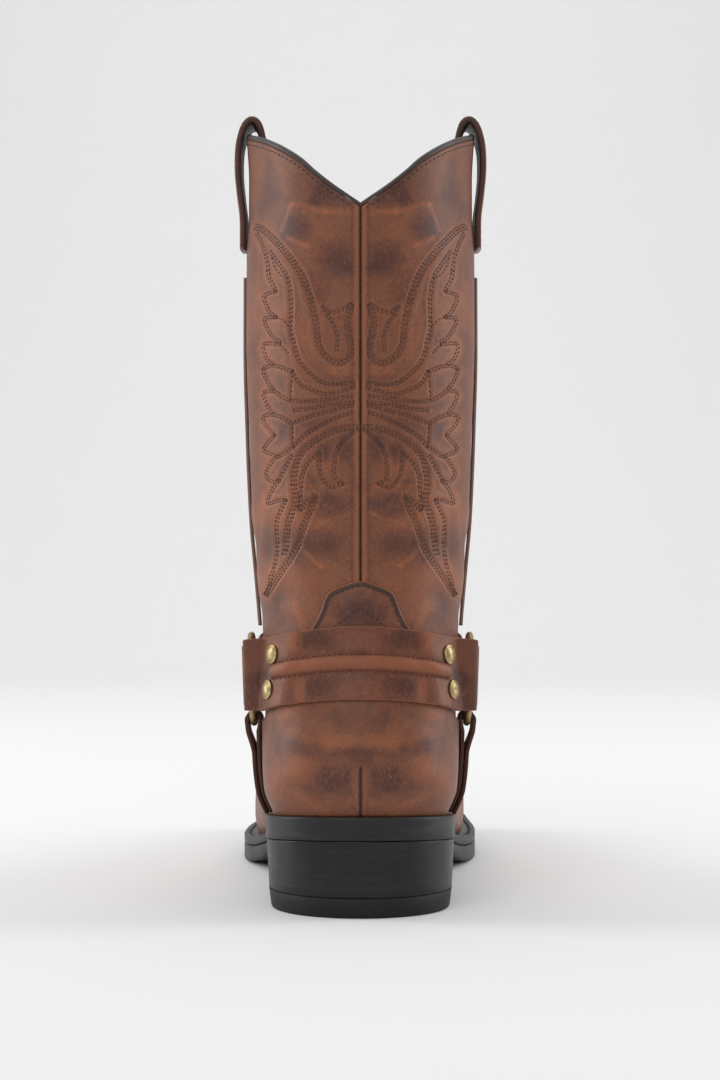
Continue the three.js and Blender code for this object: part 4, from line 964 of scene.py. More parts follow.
# Creases behind, over the harness: height at the seam, depth and width
HEEL_BEND_CREASES = [(141, -0.5, 5.0), (128, 0.4, 5.0), (153, 0.35, 4.5)]


def trough(x, z, start, end, width):
    """How near a point is to a crease's line, 1 on it and 0 a few widths away."""
    a, b = np.array(start, float), np.array(end, float)
    t = np.clip(((x - a[0]) * (b - a)[0] + (z - a[1]) * (b - a)[1]) / np.sum((b - a) ** 2), 0, 1)
    bow = 0.06 * np.linalg.norm(b - a) * np.sin(t * math.pi)
    away = np.hypot(x - a[0] - t * (b - a)[0], z - a[1] - t * (b - a)[1] - bow)
    return bell(away, 0, width) * (0.35 + 0.65 * np.sin(t * math.pi))


SEAM_LOW = 126


def shaft_relief(points, angle):
    """How far the shaft's leather stands out, and its light-and-shade value: paler where stretched, with
    painted highlight on ridges and painted shade in hollows, at points on it.
    """
    x, z = points[..., 0], points[..., 2]
    back = np.cos(angle) > -0.1
    wide = np.abs(x)
    relief = np.zeros(x.shape)
    for start, end, depth, width in SHAFT_CREASES:
        relief += np.where(back, depth * trough(wide, z, start, end, width), 0)
    turn = turn_of(angle)
    forward = ease(turn, 0.45 * math.pi, 0.75 * math.pi)
    for middle, side, depth, width in ANKLE_CREASES:
        height = lerp(side, middle, ease(turn, 0.5 * math.pi, math.pi))
        relief += depth * forward * bell(z, height, width)
    for height, depth, width in HEEL_BEND_CREASES:
        relief += depth * bell(z - height - wide * 0.12, 0, width) * ease(wide, 2, 12) * back
    # Crease ridges pale as stretched pull-up leather and get a painted highlight; crease hollows get painted
    # shade
    crest = np.clip(relief / 0.5, -1, 1) * lerp(0.42, 0.22, forward)

    # The back seam: two folded edges and the groove between them, with a painted highlight on the folds and
    # painted shade in the groove and just beyond the folds
    seam = back * ease(z, SEAM_LOW - 4, SEAM_LOW + 2)
    relief += seam * (0.68 * ease(wide, 3.0, 1.9) - 1.15 * bell(wide, 0, 0.36))
    crest += seam * (0.6 * bell(wide, 1.4, 0.8) - 1.5 * bell(wide, 0, 0.34) - 0.25 * bell(wide, 3.3, 0.6))

    # Leather puckers beside each group of stitched rows and sinks under the thread; the puckers get a painted
    # highlight, the thread lines painted shade, and the outer lobes are paler near the rows
    stitched = back & (z > 118) & (z < 280)
    near = np.full(x.shape, 30.0)
    near[stitched] = [near_rows.find((px, pz, 0))[2] for px, pz in zip(x[stitched], z[stitched])]
    waver = 0.75 + 0.25 * np.sin(x * 1.9 + z * 2.3) * np.sin(z * 1.7 - x * 0.9)
    relief += 0.3 * bell(near, 1.3, 0.8) * waver - 0.3 * bell(near, 0, 0.42)
    crest += 0.34 * bell(near, 0.9, 0.5) * waver - 0.3 * bell(near, 0, 0.3)
    crest += 0.42 * ease(wide, 24, 34) * bell(near, 0, 2.0) * waver
    return relief, crest


def flat(*grids):
    """The points of several grids as one list."""
    return np.concatenate([grid.reshape(-1, 3) for grid in grids])


def add_attribute(piece, name, values):
    layer = piece.data.attributes.new(name, "FLOAT", "POINT")
    layer.data.foreach_set("value", np.asarray(values, float).ravel())


def angles_round():
    """Angles round the boot: finest at the back seam, coarse in front."""
    high = level_of(200.0)
    wide = np.concatenate([np.arange(0, 4.2, 0.3), np.arange(4.5, 44.5, 0.52)])
    y = solve(lambda at: half_width(at, 200.0) - wide, back_at(200.0), middle_at(200.0))
    behind = angle_of(y, high)
    behind[0] = 0
    ahead = even(high, behind[-1], math.pi, 46)[1:]
    return all_round(np.concatenate([behind, ahead]))


# The upper's leather, and its lining
LEATHER = 1.3
around = angles_round()
heights = np.concatenate([
    np.linspace(0, 1, 16)[:-1],
    level_of(np.linspace(LOW_LEVEL, 112, 34))[:-1],
    level_of(np.linspace(112, HIGH_LEVEL, 215))[:-1],
    np.linspace(2, 3, 48)])
levels, turns = np.meshgrid(heights, around, indexing="ij")
relief, crest = shaft_relief(plain_point(levels, turns), turns)
top_fade = ease(levels, 3.0, 2.93)
outer = skin(levels, turns, relief * top_fade - 0.35 * ease(levels, 2.985, 3.0))
inner_heights = np.concatenate([
    np.linspace(0, 1, 6)[:-1], np.linspace(1, 2, 16)[:-1], np.linspace(2, 3, 8)])


def wall(name, outer, inner, material):
    """A closed wall, round in plan, between two grids whose rows may differ in number."""
    rows, columns = outer.shape[:2]
    inner_count = len(inner)
    start = rows * columns
    faces = grid_faces(rows, columns, False, True)
    faces += grid_faces(inner_count, columns, False, True, start, True)
    for c in range(columns):
        d = (c + 1) % columns
        faces.append([d, c, start + c, start + d])
        top, under = (rows - 1) * columns, start + (inner_count - 1) * columns
        faces.append([top + c, top + d, under + d, under + c])
    return new_piece(name, flat(outer, inner), faces, material)


inner_levels, inner_turns = np.meshgrid(inner_heights, around, indexing="ij")
shaft = wall("upper_leather", outer, skin(inner_levels, inner_turns, -LEATHER), shaft_leather)
pad = np.zeros(inner_levels.size)
# The shaft's painted highlight and shade, with its paling where stretched, go on as a point attribute
add_attribute(shaft, "crest", np.concatenate([crest.ravel(), pad]))
add_attribute(shaft, "edge", np.zeros(crest.size + pad.size))
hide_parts("upper")
inside = wall("upper_lining", skin(inner_levels, inner_turns, -LEATHER - 0.05),
              skin(inner_levels, inner_turns, -WALL), lining)
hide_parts("upper")

ornament = []
for row in shaft_rows:
    plain_row, out, angle = on_leather(row[:, 0], row[:, 1], 0.0)
    lift = shaft_relief(plain_row, angle)[0] + 0.3
    ornament.append((plain_row + out * lift[:, None], out))
stitches("ornament_threads", ornament, brown_thread, 1.72, 1.05, 0.56)


# Overlays on the foot. The counter's top edge behind: across from the seam, height
COUNTER_TOP = Curve([
    (0, 131), (2, 130.7), (4.5, 129.9), (8, 128.5), (11, 127.1), (12.4, 126), (13.6, 123.8),
    (15.0, 119.6), (16.6, 116), (18.4, 112.8), (21, 108.2), (24.5, 101), (29, 91), (33, 83),
    (37, 76.5), (40, 73.4), (48, 72)])
# Creases over the heel, placed as the shaft's are
HEEL_CREASES = [
    ((0, 69), (14, 66), 0.3, 2.2), ((2, 64.5), (16, 62), -0.25, 2.0), ((10, 74), (24, 64), 0.22, 3.0),
    ((18, 80), (32, 70), -0.3, 3.4), ((4, 78), (12, 86), 0.2, 3.0), ((22, 58), (34, 50), 0.25, 3.4),
]


def seam_line(z):
    """Where the counter meets the vamp, along the foot, at a height."""
    foot, top, height = 0.335 * FOOT_LENGTH, 0.3 * FOOT_LENGTH, 68
    return lerp(foot, top, np.clip(z / height, 0, 1))


def counter_top(angle):
    """The top edge's height over each angle, from the shape that the tab has from behind."""
    height = np.full(np.shape(angle), 100.0)
    for _ in range(30):
        p = plain_point(level_of(height), angle)
        ahead = lerp(73, 68, (p[..., 1] - 45) / 45)
        wanted = np.where(p[..., 1] < 45, COUNTER_TOP(np.abs(p[..., 0])), ahead)
        height = lerp(height, np.maximum(wanted, 66), 0.5)
    return height


def rounded(edge_distance, thickness, radius=0.8):
    """Height of an overlay's face near its cut edge, eased down to round it."""
    near = np.clip(edge_distance / radius, 0, 1)
    return thickness * (0.35 + 0.65 * np.sqrt(1 - (1 - near) ** 2))


def make_counter():
    rows = 112
    ends = float(angle_of(seam_line(60.0), np.array(1.0)))
    share_across = both_sides(even(0.8, 0, ends, 96)) / ends
    columns = len(share_across)
    tops = counter_top(share_across * ends)
    up = 1 - (1 - np.linspace(0, 1, rows)) ** 1.25
    grid_z = np.empty((rows, columns))
    angles = np.empty((rows, columns))
    foot = seat(np.array([back_at(SEAT_HEIGHT)]))[0]
    for r, share_up in enumerate(up):
        z = lerp(foot, tops, share_up)
        reach = angle_of(seam_line(z), low_level_of(seam_line(z), z))
        angles[r] = share_across * lerp(ends, reach, ease(np.abs(share_across), 0.7, 1))
        grid_z[r] = z
    low = np.clip((grid_z - foot) / (LOW_LEVEL - foot), 0, 1)
    level = np.where(grid_z < LOW_LEVEL, low, level_of(grid_z))
    plain = plain_point(level, angles)
    wide, z = np.abs(plain[..., 0]), plain[..., 2]
    line = np.concatenate([np.arange(0, 13, 0.25), np.arange(13, 24, 0.06), np.arange(24, 48, 0.25)])
    off = np.hypot(wide[..., None] - line, z[..., None] - COUNTER_TOP(line)).min(-1)
    edge = np.minimum(np.where(plain[..., 1] < 40, off, tops[None, :] - grid_z),
                      (1 - np.abs(share_across[None, :])) * 105)
    relief = sum(depth * trough(wide, z, a, b, width) for a, b, depth, width in HEEL_CREASES)
    dart = ease(z, 60.5, 57)
    sewn = dart * bell(wide, 0, 0.4)
    relief = relief * ease(edge, 0.5, 5) - sewn * 0.6 + bell(wide, 1.3, 0.7) * dart * 0.22
    offset = GAP + rounded(edge, OVERLAY) + relief
    outer = skin(level, angles, offset)
    inner = skin(level, angles, GAP * 0.5)
    piece = slab("counter_leather", outer, inner, foot_leather)
    # A darker band between the tab's top edge and its stitches; the creases get painted highlight and shade,
    # the cut edge is paler and the sewn dart gets painted shade
    band = ease(edge, 2.3, 1.9) * ease(edge, 0.25, 0.6) * ease(z, 76, 84)
    crest = np.clip(relief / 0.4, -1, 1) * 0.6 + 0.9 * ease(edge, 0.45, 0.05) - 0.7 * sewn
    paint(piece, flat(outer, inner), crest=[crest, crest * 0], edge=[band, band])
    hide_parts("counter")


def paint(piece, points, **layers):
    """Give a piece point attributes, by the nearest of the points that it was made from."""
    tree = kdtree.KDTree(len(points))
    for i, p in enumerate(place(points).tolist()):
        tree.insert(p, i)
    tree.balance()
    order = [tree.find(v.co)[1] for v in piece.data.vertices]
    for name, values in layers.items():
        add_attribute(piece, name, np.asarray(values, float).ravel()[order])


make_counter()

# The vamp: its side edge by height, up to its top edge, and its creases: place, lean, depth, width
VAMP_TOP = 140.8
VAMP_EDGE = Curve([
    (0, 100.8), (68, 90.4), (84.8, 104.1), (107.2, 114.9), (126.4, 117.9), (VAMP_TOP, 114)])
VAMP_CREASES = [
    (176, 0.10, -0.9, 4.0), (187, 0.06, 0.55, 4.5), (199, 0.02, -0.7, 4.2), (163, 0.16, 0.5, 4.5),
    (150, 0.2, -0.55, 4.0), (136, 0.25, -0.4, 3.6)]


def vamp_side(z):
    return np.where(z < 68, lerp(100.8, 90.4, z / 68), VAMP_EDGE(z))


def make_vamp():
    half_columns, low_rows = 96, 26
    columns = 2 * half_columns - 1
    level = np.concatenate([np.linspace(0, 1, low_rows)[:-1],
                            level_of(np.linspace(LOW_LEVEL, VAMP_TOP, 76))])
    share_round = np.abs(np.linspace(-1, 1, columns))
    angles = np.empty((len(level), columns))
    for r, at in enumerate(level):
        start = 0.97
        for _ in range(25):
            z = plain_point(at, start)[2]
            start = float(angle_of(vamp_side(z), np.array(at)))
        half = even(at, start, math.pi, half_columns)
        angles[r] = np.concatenate([half, 2 * math.pi - half[-2::-1]])
    levels = np.repeat(level[:, None], columns, 1)
    plain = plain_point(levels, angles)
    z = plain[..., 2]
    side_edge = (1 - share_round)[None, :] * 190 * np.ones_like(z)
    edge = np.minimum(side_edge, np.where(z > LOW_LEVEL, VAMP_TOP - z, 30))
    y = plain[..., 1]
    over = np.clip((z - seat(y)) / 40, 0, 1)
    relief = np.zeros(z.shape)
    for place_y, lean, depth, width in VAMP_CREASES:
        line = place_y - np.abs(plain[..., 0]) * lean
        relief += depth * bell(y, line, width) * over
    relief *= ease(edge, 0.5, 6)
    offset = GAP + rounded(edge, OVERLAY) + relief
    outer = skin(levels, angles, offset)
    inner = skin(levels, angles, GAP * 0.5)
    piece = slab("vamp_leather", outer, inner, foot_leather)
    # The creases get painted highlight and shade, and the cut edge is paler
    crest = np.clip(relief / 0.9, -1, 1) * 0.24 + 0.8 * ease(edge, 0.6, 0.05)
    paint(piece, flat(outer, inner), crest=[crest, crest * 0], edge=np.zeros(crest.size * 2))
    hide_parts("vamp")


make_vamp()


# The bottom
def footprint(angle, reach, sink=0.0):
    """The lowest outline of the upper, moved outwards by a reach less a sink."""
    at = plain_point(0.0, angle)
    run = plain_point(0.0, angle + STEP) - plain_point(0.0, angle - STEP)
    normal = np.stack([run[..., 1], -run[..., 0], np.zeros(len(at))], -1)
    normal /= np.linalg.norm(normal, axis=-1, keepdims=True)
    given = [v(at[:, 1]) if callable(v) else np.full(len(at), float(v)) for v in (reach, sink)]
    return at + normal * (given[0] - given[1])[:, None]


def sole_reach(y):
    """How far the sole reaches beyond the upper."""
    return lerp(SEAT_REACH, WELT_REACH, ease(y, 0.38 * FOOT_LENGTH, 0.6 * FOOT_LENGTH))


def sole_top(y):
    return seat(y) - GAP


def welt_low(y):
    return sole_top(y) - WELT_HEIGHT


def loops(reach, rows, angle):
    """Loops round the foot: each row draws the outline in by a sink and sets its own heights."""
    out = []
    for sink, height in rows:
        p = footprint(angle, reach, sink)
        p[:, 2] = height(p[:, 1])
        out.append(p)
    return np.array(out)


def outline_angle(y, reach):
    """The angle at which the outline of the bottom reaches a place along the foot."""
    return float(solve(lambda a: footprint(np.array([float(a)]), reach)[0, 1] - y, 0.1, math.pi * 0.6))


round_sole = all_round(even(0.0, 0, math.pi, 131))


def behind_breast(y):
    return 1 - ease(y, HEEL_LENGTH - 1.2, HEEL_LENGTH + 0.2)


def split(ahead, behind):
    """A value that differs ahead of and behind the heel's breast."""
    return lambda y: lerp(ahead, behind, behind_breast(y))


def side_height(ahead, behind):
    """Heights over the groove under the welt ahead, and on the plain edge behind the breast."""
    return lambda y: lerp(welt_low(y) + ahead, lerp(welt_low(y), sole_top(y), behind), behind_breast(y))


def edge_height(ahead, behind):
    return lambda y: tread(y) + lerp(ahead, behind, behind_breast(y))


def over_welt_low(up):
    return lambda y: welt_low(y) + up


sole_rows = [
    (22.0, tread), (6.0, tread), (split(1.6, 0.6), tread),
    (split(0.9, 0.25), edge_height(0.15, 0.03)), (split(0.35, 0.08), edge_height(0.5, 0.12)),
    (0.0, edge_height(1.1, 0.35)), (0.0, lambda y: lerp(tread(y), welt_low(y), 0.5)),
    (0.0, side_height(-0.9, 0.0)), (split(0.15, 0.0), side_height(-0.55, 0.15)),
    (split(0.6, 0.0), side_height(-0.35, 0.4)), (split(0.6, 0.0), side_height(-0.34, 0.7)),
    (split(0.6, 0.0), side_height(-0.33, 0.8)), (split(0.6, 0.12), side_height(-0.32, 0.9)),
    (split(0.7, 0.4), side_height(-0.31, 0.97)), (0.9, side_height(-0.3, 1.0)),
    (8.0, side_height(-0.3, 1.0)), (20.0, side_height(-0.3, 1.0))]
sole = tube("outsole_body", loops(sole_reach, sole_rows, round_sole), sole_black)
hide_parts("outsole")

# The welt runs round the forefoot from the heel's breast, with a groove for its stitches
breast_angle = outline_angle(HEEL_LENGTH + 0.4, sole_reach)
half_welt = even(0.0, breast_angle, math.pi, 116)
round_welt = np.concatenate([half_welt, 2 * math.pi - half_welt[-2::-1]])
GROOVE = 2.9
welt_section = [
    (18.0, 0.0), (0.9, 0.0), (0.3, 0.25), (0.0, 0.9), (0.0, WELT_HEIGHT - 0.9), (0.25, WELT_HEIGHT - 0.3),
    (0.8, WELT_HEIGHT), (GROOVE - 1.0, WELT_HEIGHT), (GROOVE - 0.5, WELT_HEIGHT - 0.5),
    (GROOVE, WELT_HEIGHT - 0.6), (GROOVE + 0.5, WELT_HEIGHT - 0.5), (GROOVE + 1.0, WELT_HEIGHT),
    (10.0, WELT_HEIGHT), (18.0, WELT_HEIGHT)]
welt_rows = loops(sole_reach, [(sink, over_welt_low(up)) for sink, up in welt_section], round_welt)
welt = tube("welt_strip", welt_rows.transpose(1, 0, 2), sole_black)
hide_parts("welt")
welt_line = loops(sole_reach, [(GROOVE, lambda y: sole_top(y) - 0.35)], round_welt[2:-2])[0]
stitches("welt_threads", [(welt_line, np.tile([0, 0, 1.0], (len(welt_line), 1)))], dark_thread,
         4.2, 3.4, 1.1)


def heel_outline(taper, count):
    """The sole's outline behind the breast, drawn in, closed by a straight line across the front."""
    def reach(y):
        return sole_reach(y) - taper

    end = outline_angle(HEEL_LENGTH - taper, reach)
    side = footprint(both_sides(even(0.0, 0, end, count // 2)), reach)
    front = np.linspace(side[-1], side[0], 16)[1:-1]
    return np.vstack([side, front])


def heel_piece(name, rows, material, node):
    made = []
    for taper, height in rows:
        p = heel_outline(taper, 150)
        p[:, 2] = height(p[:, 1]) if callable(height) else height
        made.append(p)
    piece = tube(name, made, material)
    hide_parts(node)
    return piece


def heel_height(up):
    """Heights of a row of the heel, by its share of the way up to the sole."""
    return lambda y: lerp(LIFT_HEIGHT + GAP + 0.7, tread(y) - GAP - 0.5, up)


JOINT_TAPER = HEEL_TAPER * 0.6  # how far the heel is drawn in where the top lift meets it
heel_rows = [(JOINT_TAPER + 0.12, LIFT_HEIGHT + GAP), (JOINT_TAPER, LIFT_HEIGHT + GAP + 0.12)]
heel_rows += [(lerp(JOINT_TAPER, 0.45, row / 11), heel_height(row / 11)) for row in range(1, 12)]
heel_rows += [(0.45, edge_height(-GAP - 0.12, -GAP - 0.12)), (0.57, edge_height(-GAP, -GAP))]
heel_piece("heel_stack_body", heel_rows, heel_black, "heel")
lift_rows = [(HEEL_TAPER + 1.0, 0.0), (HEEL_TAPER + 0.35, 0.2), (HEEL_TAPER, 0.9),
             (lerp(HEEL_TAPER, JOINT_TAPER, 0.5), LIFT_HEIGHT * 0.55),
             (JOINT_TAPER, LIFT_HEIGHT - 0.12), (JOINT_TAPER + 0.12, LIFT_HEIGHT)]
heel_piece("top_lift_body", lift_rows, lift_black, "top_lift")


# The harness
def turn_at(y):
    """How far round the boot a place along it is, at the rings' height."""
    return float(angle_of(y, level_of(RING_HEIGHT)))


ring_angle = turn_at(RING_ALONG)
ON_LEATHER = GAP + OVERLAY + GAP + 0.5
TWO_LAYERS = ON_LEATHER + STRAP_LEATHER + GAP
ring_side = float(skin_at(RING_HEIGHT, ring_angle, TWO_LAYERS + RING_WIRE + 0.15)[0])
POCKET_REACH = RING_RADIUS + RING_WIRE + 0.8
FOLD_REACH = math.sqrt((RING_RADIUS - RING_WIRE - 0.8) ** 2 - (STRAP_NECK / 2 + STRAP_OVER) ** 2)
RIVET_ALONG = RING_RADIUS + RING_WIRE + RIVET_RADIUS + 7.6
TUCK_ALONG = RIVET_ALONG + RIVET_RADIUS + 3


def ring_plane(z):
    return ring_side + RING_LEAN * (z - RING_HEIGHT)


def offset_over_ring(y, z, close):
    near = 1 - ease(np.abs(y - RING_ALONG), POCKET_REACH, POCKET_REACH + close)
    over = ring_plane(z) + RING_WIRE + 2 * GAP - shift_at(y) - half_width(y, z)
    return lerp(ON_LEATHER, np.maximum(ON_LEATHER, over), near)


ring_back, ring_front, _ = (float(v) for v in ring_ends(level_of(RING_HEIGHT)))


def upright(angle, z):
    """An angle at the ring's height, turned so that its place along the foot is kept elsewhere."""
    turn = turn_of(angle)
    along = lerp(ring_back, ring_front, share(turn))
    loose = ease(np.abs(along - RING_ALONG), 22, 60)
    return np.where(angle < 0, -1, 1) * lerp(angle_of(along, level_of(z)), turn, loose)


def strap_section(width, dense=None):
    """Shares across and shares of the thickness, round a strap's cut with its rounded edges."""
    corner = [(0, 0.45), (0, 0.7), (0.12, 0.9), (0.4, 1.0)]
    across = np.linspace(0.9, width - 0.9, 14) if dense is None else dense
    top = [(a / width, b) for a, b in corner] + [(a / width, 1.0) for a in across]
    top += [((width - a) / width, b) for a, b in corner[::-1]]
    under = [(1 - 0.12 / width, 0.1), (1 - 0.5 / width, 0), (0.66, 0), (0.33, 0), (0.5 / width, 0),
             (0.12 / width, 0.1)]
    return np.array(top + under)


def from_edge(section, width):
    """How far each point of a strap's cut is from the strap's nearer long edge."""
    return np.minimum(section[:, 0], 1 - section[:, 0]) * width


class WrapStrap:
    """A strap round the boot whose ends fold round a ring and back, as its solid does."""

    def __init__(self, edges, fold_y, tuck_y, close, stand, front):
        self.edges, self.close, self.stand = edges, close, stand
        self.forward = -1 if front else 1
        self.middle = math.pi if front else 0.0
        self.fold_angle = turn_at(fold_y)
        self.tuck_angle = turn_at(tuck_y)
        self.rivet_y = RING_ALONG - self.forward * RIVET_ALONG
        self.relief = None

    def height(self, turn, across):
        low, high = self.edges(turn)
        return lerp(low, high, across)

    def outer_offset(self, y, z, turn):
        tucked = ease((turn - self.tuck_angle) * self.forward, -0.16, 0)
        stand = self.stand * (1 - ease(np.abs(y - RING_ALONG), 6, 52))
        over = offset_over_ring(y, z, self.close) + stand
        return np.maximum(over, lerp(ON_LEATHER, TWO_LAYERS, tucked))

    def face(self, at, z, proud):
        at, z, proud = np.broadcast_arrays(*(np.asarray(v, float) for v in (at, z, proud)))
        angle = upright(at, z)
        y = plain_point(level_of(z), angle)[..., 1]
        return skin(level_of(z), angle, self.outer_offset(y, z, np.abs(at)) + proud)

    def outer_rows(self, turns, section):
        at, across = np.meshgrid(turns, section[:, 0], indexing="ij")
        proud = np.broadcast_to(section[:, 1], at.shape) * STRAP_LEATHER
        z = self.height(np.abs(at), across)
        if self.relief is not None:
            proud = proud + self.relief(at, across) * (section[:, 1] > 0.95)
        return self.face(at, z, proud)

    def inner_rows(self, turns, section):
        at, across = np.meshgrid(turns, section[:, 0], indexing="ij")
        z = self.height(np.abs(at), across)
        offset = ON_LEATHER + STRAP_LEATHER * (1 - np.broadcast_to(section[:, 1], at.shape))
        return skin(level_of(z), upright(at, z), offset)

    def fold_rows(self, side, bends, section):
        angle = np.full(len(section), side * self.fold_angle)
        z = self.height(self.fold_angle, section[:, 0])
        high = self.face(angle, z, STRAP_LEATHER / 2)
        low = skin(level_of(z), upright(angle, z), ON_LEATHER + STRAP_LEATHER / 2)
        middle = (low + high) / 2
        radius = np.linalg.norm(high - low, axis=1) / 2
        out = (high - low) / (2 * radius[:, None])
        reach = radius + (section[:, 1] - 0.5) * STRAP_LEATHER
        rows = []
        for bend in bends:
            rows.append(middle + out * (reach * math.sin(bend))[:, None]
                        + np.array([0, self.forward, 0]) * (reach * math.cos(bend))[:, None])
        return np.array(rows)

    def rows(self, section, count):
        """Rows of the section from one tucked end round the boot to the other, and their light-and-shade
        values: a painted highlight on the bead and painted shade round it.
        """
        low, high = sorted((self.middle, self.fold_angle))
        half = even(level_of(RING_HEIGHT), low, high, count // 2 + 1)[::self.forward]
        bends = np.radians(np.linspace(-78, 78, 9))
        ends = np.linspace(self.tuck_angle, self.fold_angle, 16)
        turns = np.concatenate([-half[::-1], half[1:]])
        parts = [self.inner_rows(-ends, section), self.fold_rows(-1, bends, section),
                 self.outer_rows(turns, section),
                 self.fold_rows(1, bends[::-1], section), self.inner_rows(ends[::-1], section)]
        crest = [np.zeros(part.shape[:2]) for part in parts]
        if self.relief is not None:
            at, across = np.meshgrid(turns, section[:, 0], indexing="ij")
            # Painted highlight on the bead's ridge and painted shade in the dip round it
            crest[2] = np.clip(self.relief(at, across) * 0.42, -0.9, 0.8) * (section[:, 1] > 0.95)
        return np.concatenate(parts), np.concatenate(crest)


def heel_edges(turn):
    middle = RING_HEIGHT + STRAP_OVER + HEEL_STRAP_RISE * (1 - ease(turn, 0, ring_angle))
    half = lerp(HEEL_STRAP_WIDTH, STRAP_NECK, ease(turn, ring_angle - 0.35, ring_angle - 0.1)) / 2
    return middle - half, middle + half


def instep_edges(turn):
    top = ease(turn, ring_angle, math.pi)
    middle = RING_HEIGHT + STRAP_OVER + INSTEP_STRAP_RISE * top
    half = lerp(STRAP_NECK, INSTEP_STRAP_WIDTH * 0.8, top) / 2
    return middle - half, middle + half


heel_wrap = WrapStrap(heel_edges, RING_ALONG - FOLD_REACH, RING_ALONG - TUCK_ALONG, 6, 0, False)
instep_wrap = WrapStrap(instep_edges, RING_ALONG + FOLD_REACH, RING_ALONG + TUCK_ALONG, 9, 1.4, True)

strap_back = RING_HEIGHT + STRAP_OVER + HEEL_STRAP_RISE
bead_turn = turn_at(solve(lambda y: half_width(y, strap_back) - BEAD_REACH, back_at(strap_back) + 0.1,
                          RING_ALONG))
BEAD_MM = BEAD_REACH / bead_turn


def bead_relief(at, across):
    """The stuffed bead: a round ridge along the strap's middle, with rounded ends."""
    up = (across - 0.5) * HEEL_STRAP_WIDTH
    beyond = np.maximum(0, (np.abs(at) - bead_turn) * BEAD_MM * 1.25 + BEAD_WIDTH / 2)
    away = np.hypot(up, beyond) / (BEAD_WIDTH / 2 + 0.3)
    ridge = 1.9 * np.sqrt(np.clip(1 - away ** 2, 0, 1))
    sunk = -0.22 * bell(away, 1.22, 0.2)
    return ridge + sunk


heel_wrap.relief = bead_relief
bead_low, bead_high = (HEEL_STRAP_WIDTH / 2 + side * (BEAD_WIDTH / 2 + 1.6) for side in (-1, 1))
dense = np.concatenate([np.linspace(0.9, bead_low, 10)[:-1], np.linspace(bead_low, bead_high, 32),
                        np.linspace(bead_high, HEEL_STRAP_WIDTH - 0.9, 10)[1:]])


def strap_piece(name, wrap, section, count, node, width):
    rows, crest = wrap.rows(section, count)
    piece = tube(name, rows, strap_leather)
    # Paler along both long edges of the strap's face
    pale_edges = ease(from_edge(section, width), 0.5, 0.05) * (section[:, 1] > 0.3)
    crest = crest + pale_edges * 0.8
    cut = np.broadcast_to((section[:, 1] < 0.35) * 0.9, rows.shape[:2])
    paint(piece, flat(rows), crest=crest, edge=cut)
    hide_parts(node)


strap_piece("heel_strap_leather", heel_wrap, strap_section(HEEL_STRAP_WIDTH, dense), 220,
            "heel_strap", HEEL_STRAP_WIDTH)
strap_piece("instep_strap_leather", instep_wrap, strap_section(INSTEP_STRAP_WIDTH), 200,
            "instep_strap", INSTEP_STRAP_WIDTH)

bead_rows = []
for up in (-1, 1):
    turns = np.linspace(-bead_turn * 0.99, bead_turn * 0.99, 120)
    z = sum(heel_edges(np.abs(turns))) / 2 + up * (BEAD_WIDTH / 2 + 0.75)
    line = heel_wrap.face(turns, z, STRAP_LEATHER - 0.12)
    out = heel_wrap.face(turns, z, STRAP_LEATHER + 1) - line
    bead_rows.append((line, out / np.linalg.norm(out, axis=1, keepdims=True)))
stitches("bead_threads", bead_rows, red_thread, 2.3, 1.6, 0.62)


def ring_piece(name, side, node):
    around_ring = np.linspace(0, 2 * math.pi, 96, endpoint=False)
    around_wire = np.linspace(0, 2 * math.pi, 18, endpoint=False)
    a, w = np.meshgrid(around_ring, around_wire, indexing="ij")
    reach = RING_RADIUS + RING_WIRE * np.cos(w)
    y = RING_ALONG + reach * np.cos(a)
    up = reach * np.sin(a)
    lean = math.atan(RING_LEAN)
    x = ring_side + RING_WIRE * np.sin(w) * math.cos(lean) + up * math.sin(lean)
    z = RING_HEIGHT + up * math.cos(lean) - RING_WIRE * np.sin(w) * math.sin(lean)
    rows = np.stack([side * x, y, z], -1)
    piece = tube(name, rows, brass, True)
    paint(piece, flat(rows), rim=np.zeros(a.size))
    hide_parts(node)


RIVET_PROFILE = [(RIVET_RADIUS - 0.4, -0.35), (RIVET_RADIUS, -0.1)] + [
    (RIVET_RADIUS * share_out, up) for share_out, up in [
        (1, 0.35), (0.96, 0.55), (0.88, 0.68), (0.8, 0.62), (0.74, 0.74), (0.62, 1.0), (0.42, 1.24),
        (0.2, 1.37), (0.05, 1.4)]]


def rivet_piece(name, wrap, side, row, node):
    """A domed cap with a turned rim, pressed into the strap."""
    turn = turn_at(wrap.rivet_y)
    low, high = wrap.edges(turn)
    z = (low + high) / 2 + (RIVET_SPACING / 2) * (1 if row else -1)
    at = wrap.face(side * turn, z, STRAP_LEATHER)
    before, after = (wrap.face(side * (turn + h), z, STRAP_LEATHER) for h in (-0.02, 0.02))
    below, above = (wrap.face(side * turn, z + h, STRAP_LEATHER) for h in (-0.5, 0.5))
    run, rise = after - before, above - below
    run /= np.linalg.norm(run)
    out = np.cross(run, rise)
    out /= np.linalg.norm(out)
    if out[0] * side < 0:
        out = -out
    across = np.cross(out, run)
    spin = np.linspace(0, 2 * math.pi, 40, endpoint=False)
    rows = np.array([[at + (run * math.cos(a) + across * math.sin(a)) * r + out * (h + GAP * 0.6)
                      for a in spin] for r, h in RIVET_PROFILE])
    piece = tube(name, rows, brass)
    rim = np.zeros(rows.shape[:2])
    rim[:2], rim[5] = 1, 0.8
    paint(piece, flat(rows), rim=rim)
    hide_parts(node)


